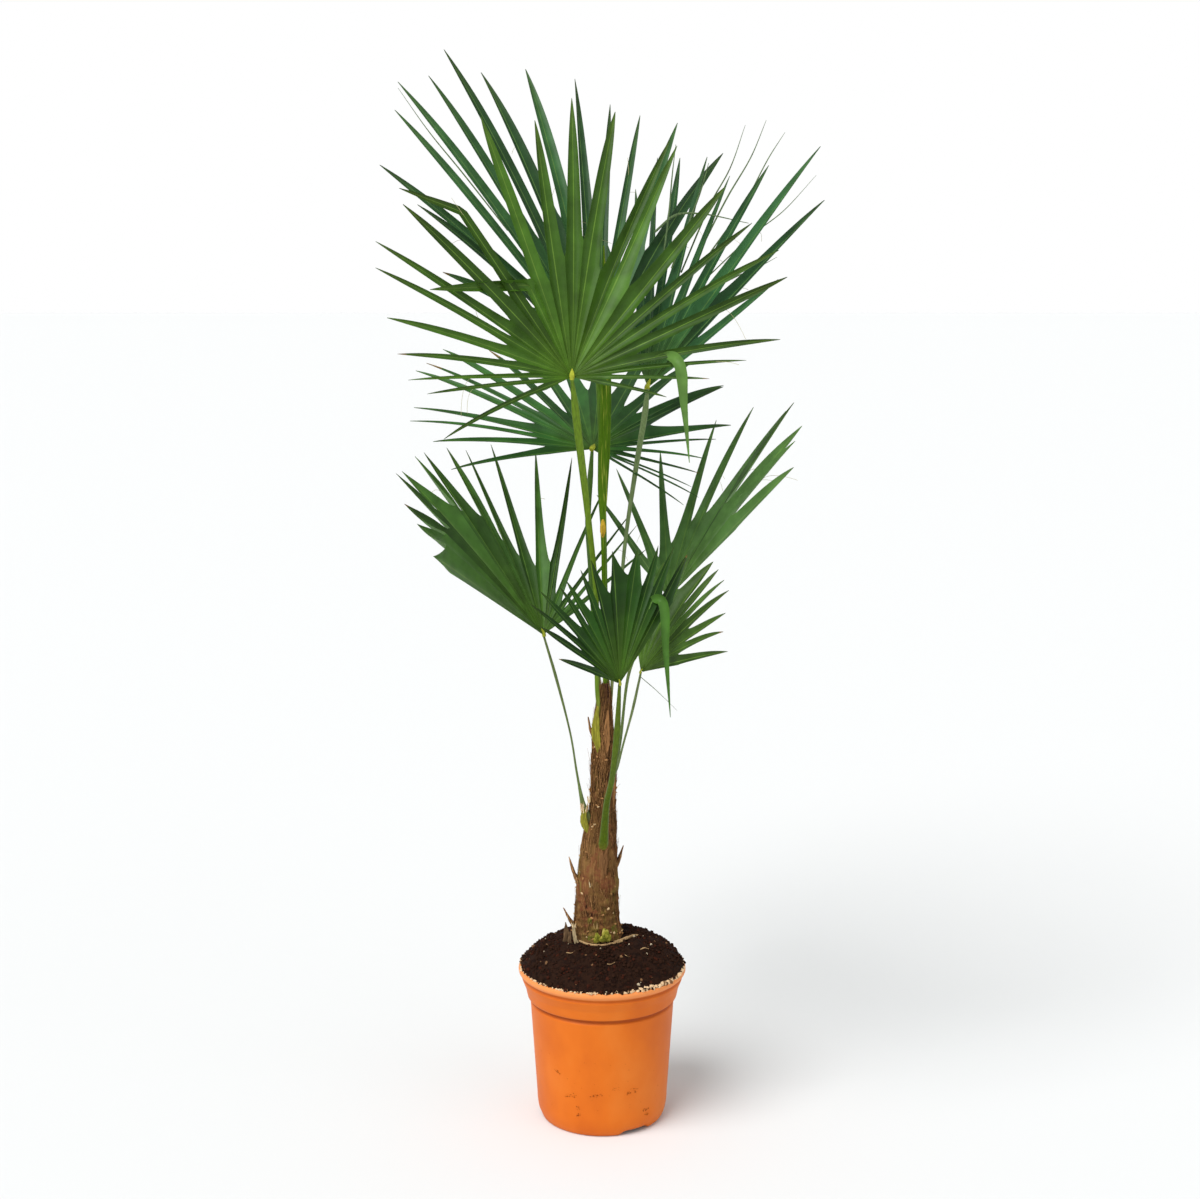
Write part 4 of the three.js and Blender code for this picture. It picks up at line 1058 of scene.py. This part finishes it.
def blade_lines(fan, leaflets):
    """Left edge, rib and right edge of every leaflet, with the way out of the upper face at each,
    shaped (leaflets, rows, 3, 3). United, an edge is the ridge that two leaflets share, raised by
    tan(fold) times half their distance. Free, the half width is the united one times
    (1 - narrowing * share to the power NARROWING_POWER) and times a taper to the tip, 1 - share to
    the power TIP_TAPER * (1 - the leaflet's united share), at least TAPER_LEAST."""
    count = fan["count"]
    fold = math.radians(fan.get("fold", FOLD))
    number = np.arange(count)[:, None]
    splits = leaflets["split"]
    united = np.linspace(0.0, 1.0, UNITED_ROWS)
    points = np.zeros((count, BLADE_ROWS, 3, 3))
    outs = np.zeros_like(points)

    middle_split = (splits[:-1] + splits[1:]) / 2.0
    rib_start = HUB_START + (middle_split[:, None] - HUB_START) * united
    points[:, :UNITED_ROWS, 1], _, outs[:, :UNITED_ROWS, 1] = rib_frames(leaflets, number, rib_start)

    ridge_start = HUB_START + (splits[:, None] - HUB_START) * united
    inner = number[:-1]
    left, _, left_out = rib_frames(leaflets, inner, ridge_start[1:-1])
    right, _, right_out = rib_frames(leaflets, inner + 1, ridge_start[1:-1])
    half = np.linalg.norm(right - left, axis=-1, keepdims=True) / 2.0
    ridge_out = unit(left_out + right_out)
    ridge = (left + right) / 2.0 + ridge_out * half * math.tan(fold)
    edges, edge_outs, halves = [], [], []
    for place, sign in ((0, -1.0), (-1, 1.0)):
        start = ridge_start[place][None]
        point, across, out = rib_frames(leaflets, number[place][None], start)
        wide = start[..., None] * math.tan(leaflets["half_step"])
        edges.append(point + across * wide * sign + out * wide * math.tan(fold))
        edge_outs.append(out)
        halves.append(wide)
    ridges = np.concatenate([edges[0], ridge, edges[1]])
    ridge_outs = np.concatenate([edge_outs[0], ridge_out, edge_outs[1]])
    ridge_halves = np.concatenate([halves[0], half, halves[1]])[:, -1, 0]
    points[:, :UNITED_ROWS, 0], points[:, :UNITED_ROWS, 2] = ridges[:-1], ridges[1:]
    outs[:, :UNITED_ROWS, 0], outs[:, :UNITED_ROWS, 2] = ridge_outs[:-1], ridge_outs[1:]

    share = np.linspace(0.0, FREE_END, FREE_ROWS + 1)[None, 1:]
    width = ((ridge_halves[:-1] + ridge_halves[1:]) / 2.0 / math.cos(fold))[:, None]
    taper = 1.0 - share ** np.maximum(TAPER_LEAST, TIP_TAPER * (1.0 - leaflets["united"][:, None]))
    half_width = width * taper * (1.0 - fan.get("narrowing", NARROWING) * share ** NARROWING_POWER)
    twist = leaflets["twist"][:, None] * share
    cos_twist, sin_twist = np.cos(twist)[..., None], np.sin(twist)[..., None]
    for column, sign, starts in ((1, 0.0, middle_split), (0, -1.0, splits[:-1]),
                                 (2, 1.0, splits[1:])):
        distance = starts[:, None] + (leaflets["reach"] - starts)[:, None] * share
        point, across, out = rib_frames(leaflets, number, distance)
        across_twisted = across * cos_twist + out * sin_twist
        out_twisted = out * cos_twist - across * sin_twist
        edge = (point + across_twisted * (sign * half_width * math.cos(fold))[..., None]
                + out_twisted * (abs(sign) * half_width * math.sin(fold))[..., None])
        if sign:
            foot, foot_across, foot_out = rib_frames(leaflets, number, starts[:, None])
            foot_edge = (foot + foot_across * (sign * width * math.cos(fold))[..., None]
                         + foot_out * (width * math.sin(fold))[..., None])
            away = points[:, UNITED_ROWS - 1, column][:, None] - foot_edge
            edge = edge + away * ((1.0 - share) ** 3)[..., None]
        points[:, UNITED_ROWS:, column], outs[:, UNITED_ROWS:, column] = edge, out_twisted
    return points, outs


def blade_rings(points, outs, thickness):
    """Rings round each leaflet, down its upper side and back along its lower one. A column's point
    lies a share of the way from the rib to an edge, bulged by 4 * share * (1 - share)."""
    share = np.abs(COLUMNS)[:, None]
    edge = np.where(COLUMNS < 0.0, 0, 2)
    rib = points[:, :, 1, None]
    reach_out = points[:, :, edge] - rib
    out = unit(outs[:, :, 1, None] * (1.0 - share) + outs[:, :, edge] * share)
    bulge = (np.linalg.norm(reach_out, axis=-1, keepdims=True) * BULGE
             * (4.0 * share * (1.0 - share)))
    middle = rib + reach_out * share - out * bulge
    half = out * (COLUMN_THICKNESS[:, None] * thickness[:, None, None] / 2.0)
    return np.concatenate([middle + half, (middle - half)[:, :, ::-1]], 2)


def blade_flow(rings, length):
    """A UV place for each point of a blade: from -1 to 1 across it, and from 0 to length along it."""
    across = np.concatenate([COLUMNS, COLUMNS[::-1]])
    run = np.linspace(0.0, length, rings.shape[1])[:, None]
    return np.stack(np.broadcast_arrays(across, run, rings[..., 0])[:2], -1)


def leaf_finish(name, colour, roughness=0.42):
    """A leathery leaf green: yellower at the hub and duller at the tips along its UV map, with soft
    clouds of light and dark over it, and fine veins along the leaflet as bands across the map."""
    finish = plain_finish(name, colour, roughness, 0.15)
    flow = flow_of(finish)
    green = np.array(colour[:3])
    hub = green * 0.5 + np.array(HUB_YELLOW) * 0.5
    tip = green * 0.8 + np.array(TIP_DULL) * 0.2
    shades = blended(finish, divided(finish, part_of(finish, flow, "Y"), 8.0),
                     [(*shade, 1.0) for shade in (hub, green, green, green, tip)], 0.0, 1.0)
    clouds = blended(finish, grain(finish, 26.0, 26.0),
                     [(light, light, light, 1.0) for light in (0.62, 0.8, 1.0)])
    feed(finish, mixed(finish, 1.0, shades, clouds, "MULTIPLY"))
    veins = add_node(finish, "ShaderNodeTexWave", Vector=flow, Scale=1.6, Distortion=0.4)
    raised(finish, veins.outputs["Fac"], 0.08, 0.4)
    return finish


dry_tip = leaf_finish("dry_leaf_tip", tone(DRY_TIP), 0.8)
for fan_name, fan in FANS.items():
    rings = blade_rings(*blade_lines(fan, leaflets_of(fan)),
                        BLADE_THICKNESS * np.linspace(1.3, 0.5, BLADE_ROWS))
    draw = np.random.default_rng(fan["seed"])
    shade = draw.choice(3, fan["count"], p=[0.3, 0.4, 0.3])
    shade[fan.get("pale", [])] = LIGHT_KIND
    kinds = np.zeros((fan["count"], BLADE_ROWS - 1, 2 * len(COLUMNS)), int) + shade[:, None, None]
    kinds[:, :, len(COLUMNS):] = UNDERSIDE_KIND
    kinds[:, :, RIB_COLUMNS] = RIB_KIND
    dry_from = np.where(draw.uniform(size=fan["count"]) < DRY_SHARE,
                        BLADE_ROWS - 1 - draw.integers(2, 5, fan["count"]), BLADE_ROWS)
    kinds[np.arange(BLADE_ROWS - 1)[None] >= dry_from[:, None]] = DRY_KIND
    leaf = np.array(fan["leaf"])
    rib_tone = 0.66 * leaf + 0.34 * np.array(RIB_TONE)
    under_tone = 0.8 * leaf + 0.2 * np.array(UNDERSIDE_TONE)
    finishes = [leaf_finish(f"{fan_name}_{label}", tone(leaf, light))
                for label, light in LEAF_SHADES.items()]
    finishes += [leaf_finish(f"{fan_name}_rib", tone(rib_tone)),
                 leaf_finish(f"{fan_name}_underside", tone(under_tone), 0.6), dry_tip]
    blade = skin(f"fan_{fan_name}_blade", rings, finishes, kinds, 30.0, blade_flow(rings, 8.0))
    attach(blade, "root")
    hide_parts(f"fan_{fan_name}")


# The hubs: where a stem enters its fan, a small yellow-green tongue lies over the leaflets' feet.
# It is part of the stem, and thins out up the fan's axis.
HUB_TONE = (150, 156, 48)


def hub_tongue(fan):
    """A tongue at a fan's hub: a limb from below it to a little way up the fan's axis."""
    leaflets = leaflets_of(fan)
    middle = fan["count"] // 2
    axis, upper, hub = leaflets["way"][middle], leaflets["upper"][middle], leaflets["hub"]
    size = max(fan["reach"]) / 365.0
    corners = [hub - axis * 4.0 * size, hub + upper * 1.5 + axis * 2.0 * size,
               hub + upper * 1.4 + axis * 11.0 * size]
    return limb(corners, np.array([6, 8, 6, 1]) * size, np.array([6, 5, 2, 0.6]) * size, upper,
                20, 18)


hub_green = grained_finish("yellow_green_hub", tone(HUB_TONE), 0.5,
                           [tone(HUB_TONE, shade) for shade in (0.7, 1.0, 1.25)], (4.0, 6.0))
hubs = skin("leaf_hubs", np.stack([hub_tongue(fan) for fan in FANS.values()]), [hub_green])
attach(hubs, "root")


# Two torn leaflets: each hangs from its fan by a strip, over a kink and straight down. Both are
# still green, and one is paler than the other.
TORN_ROWS = 60
TORN_TONES = {"pale_torn_leaflet": (94, 132, 60), "dark_torn_leaflet": (72, 114, 42)}


def hanging_rings(fan):
    """A hanging leaflet: the blade's cross-section carried along a smooth curve that leaves a rib,
    turns over a kink and falls, as wide as its named width in its middle and pointed at its end."""
    leaflets = leaflets_of(fan)
    hanging = fan["hanging"]
    number, out, drop = hanging["leaflet"], hanging["out"], hanging["drop"]
    place = leaflets["reach"][number] * hanging["place"]
    root, kink = rib_points(leaflets, np.array([number, number]), np.array([place - out, place]))
    ahead = leaflets["way"][number] + leaflets["upper"][number]
    down = np.array([0.0, 0.0, -1.0])
    corners = [root, kink, kink + ahead * out + down * out,
               kink + ahead * 1.5 * out + down * drop / 2.0, kink + ahead * 2.0 * out + down * drop]
    points, along = smooth_line(corners, TORN_ROWS)
    width = np.interp(np.linspace(0.0, 1.0, TORN_ROWS), np.linspace(0.0, 1.0, 6),
                      [0.33, 0.5, 1.0, 1.0, 0.5, 0.06])
    half = (width * hanging["width"] / 2.0)[:, None]
    across = unit(np.cross(along, [0.0, -1.0, 0.0]))
    face = np.cross(across, along)
    fold = math.radians(fan.get("fold", FOLD))
    aside, up = across * half * math.cos(fold), face * half * math.sin(fold)
    lines = np.stack([points - aside + up, points, points + aside + up], 1)
    return blade_rings(lines[None], np.repeat(face[:, None], 3, 1)[None],
                       BLADE_THICKNESS * np.full(TORN_ROWS, 0.9))


rings = np.concatenate([hanging_rings(fan) for fan in FANS.values() if "hanging" in fan])
torn = skin("torn_leaflets", rings,
            [leaf_finish(name, tone(seen)) for name, seen in TORN_TONES.items()],
            np.arange(2)[:, None, None], 30.0, blade_flow(rings, 6.0))
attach(torn, "root")


# The spear: the youngest leaf, still folded tight, its pleats showing as grooves along it. An
# orange-yellow node sits where its blade begins.
SPEAR_LINE = [[4, 3, 625], [3, 1, 700], [1, 0, 857], [1, 6, 907], [5, 14, 1031], [4, 18, 1150],
              [2, 22, 1240]]
SPEAR_WIDTHS = np.array([6, 5, 5, 11, 17, 15, 9, 2], float)
SPEAR_THICKNESS = 0.6
SPEAR_SIDES = 72
SPEAR_PLEATS = 9
SPEAR_TONE = (74, 108, 12)
SPEAR_YELLOW = (150, 158, 62)
NODE_LINE = [[1, -2, 843], [1, -2.5, 855], [1, -1, 868]]
NODE_TONE = (196, 160, 52)

rings = limb(SPEAR_LINE, SPEAR_WIDTHS, SPEAR_WIDTHS * SPEAR_THICKNESS, [0.0, -1.0, 0.0], 200,
             SPEAR_SIDES)
opened = np.clip((rings[..., 2:] - 880.0) / 60.0, 0.0, 1.0)
fold = 0.5 + 0.5 * np.cos(SPEAR_PLEATS * full_turn(SPEAR_SIDES)[:, None])
centre = rings.mean(1, keepdims=True)
rings = centre + (rings - centre) * (1.0 - 0.2 * opened * fold ** 2)
spear_green = grained_finish("spear_green", tone(SPEAR_TONE), 0.45,
                             [tone(SPEAR_TONE, 0.6), tone(SPEAR_TONE), tone(SPEAR_TONE),
                              tone(SPEAR_YELLOW)], (2.5, 60.0, 5.0), (1.0, 50.0), 0.25)
spear = skin("spear_leaf_folds", rings[None], [spear_green], sharp=50.0)
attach(spear, "root")
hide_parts("spear_leaf")

rings = limb(NODE_LINE, [3, 8, 8, 3], [3, 7, 7, 3], [0.0, -1.0, 0.0], 24, 20)
spear_node = skin("spear_leaf_node", rings[None], [husk_finish("orange_yellow_node", NODE_TONE)])
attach(spear_node, "root")


# Slips: narrow leaflets and torn strips that stand out of the fans, each a thin rod that starts among
# the leaflets and runs out to a hair.
SLIPS = [
    dict(line=[[114, 176, 1204], [157, 190, 1303], [184, 190, 1352], [205, 190, 1412]], width=2.4),
    dict(line=[[132, 180, 1216], [180, 190, 1310], [214, 190, 1368], [235, 190, 1419]], width=2.4),
    dict(line=[[150, 180, 1224], [205, 190, 1302], [239, 190, 1366], [262, 190, 1402]], width=2.2),
    dict(line=[[140, 176, 1186], [218, 192, 1258], [262, 192, 1292], [308, 190, 1342]], width=1.8),
    dict(line=[[110, 164, 1152], [188, 170, 1196], [222, 176, 1210], [253, 190, 1226]], width=2.2),
    dict(line=[[-132, 100, 1262], [-196, 120, 1342], [-242, 120, 1398], [-284, 120, 1457]], width=2.0),
    dict(line=[[53, -60, 658], [74, -62, 640], [103, -60, 611]], width=1.0),
    dict(line=[[86, 166, 1214], [96, 170, 1290], [100, 170, 1340], [105, 172, 1384]], width=2.6),
    dict(line=[[100, 166, 1210], [128, 170, 1284], [142, 170, 1322], [152, 170, 1358]], width=3.0),
    dict(line=[[75, 140, 1261], [104, 136, 1284], [140, 138, 1286], [208, 142, 1273]], width=3.4),
]
SLIP_TONE = (96, 116, 78)


def slip(line, width):
    """A thin rod, a little flattened, that runs out to a quarter of its width."""
    return limb(line, np.array([1.0, 1.0, 0.7, 0.25]) * width,
                np.array([0.8, 0.8, 0.6, 0.25]) * width, [0.0, -1.0, 0.0], 30, 8)


slips = skin("leaf_slips", np.stack([slip(**piece) for piece in SLIPS]),
             [husk_finish("grey_green_slip", SLIP_TONE)])
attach(slips, "root")


# Threads: fine pale fibres that came loose from between the leaflets and hang in the upper fans
# and in the two at the sides.
THREADED_FANS = ("upper_front", "upper_back", "upper_right", "left", "right")
THREADS_PER_FAN = 9
THREAD_POINTS = 10
THREAD_TONE = (176, 172, 128)
THREAD_RADIUS = 0.28

draw = np.random.default_rng(64)
share = np.linspace(0.0, 1.0, THREAD_POINTS)[None, :, None]
lines = []
for fan_name in THREADED_FANS:
    leaflets = leaflets_of(FANS[fan_name])
    number = draw.integers(1, FANS[fan_name]["count"] - 1, THREADS_PER_FAN)
    start = rib_points(leaflets, number,
                       leaflets["reach"][number] * draw.uniform(0.45, 0.8, THREADS_PER_FAN))
    length = draw.uniform(25.0, 75.0, (THREADS_PER_FAN, 1, 1))
    ahead = leaflets["way"][number][:, None] * length * share * 0.7
    curl = draw.normal(0.0, 0.25, (THREADS_PER_FAN, 1, 3)) * length * share ** 2
    fall = np.array([0.0, 0.0, -0.6]) * length * share ** 2
    lines.append(start[:, None] + ahead + curl + fall)
lines = np.concatenate(lines)
threads = skin("leaf_threads", strands(lines, np.full(lines.shape[:2], THREAD_RADIUS)),
               [plain_finish("pale_thread", tone(THREAD_TONE), 0.7)])
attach(threads, "root")
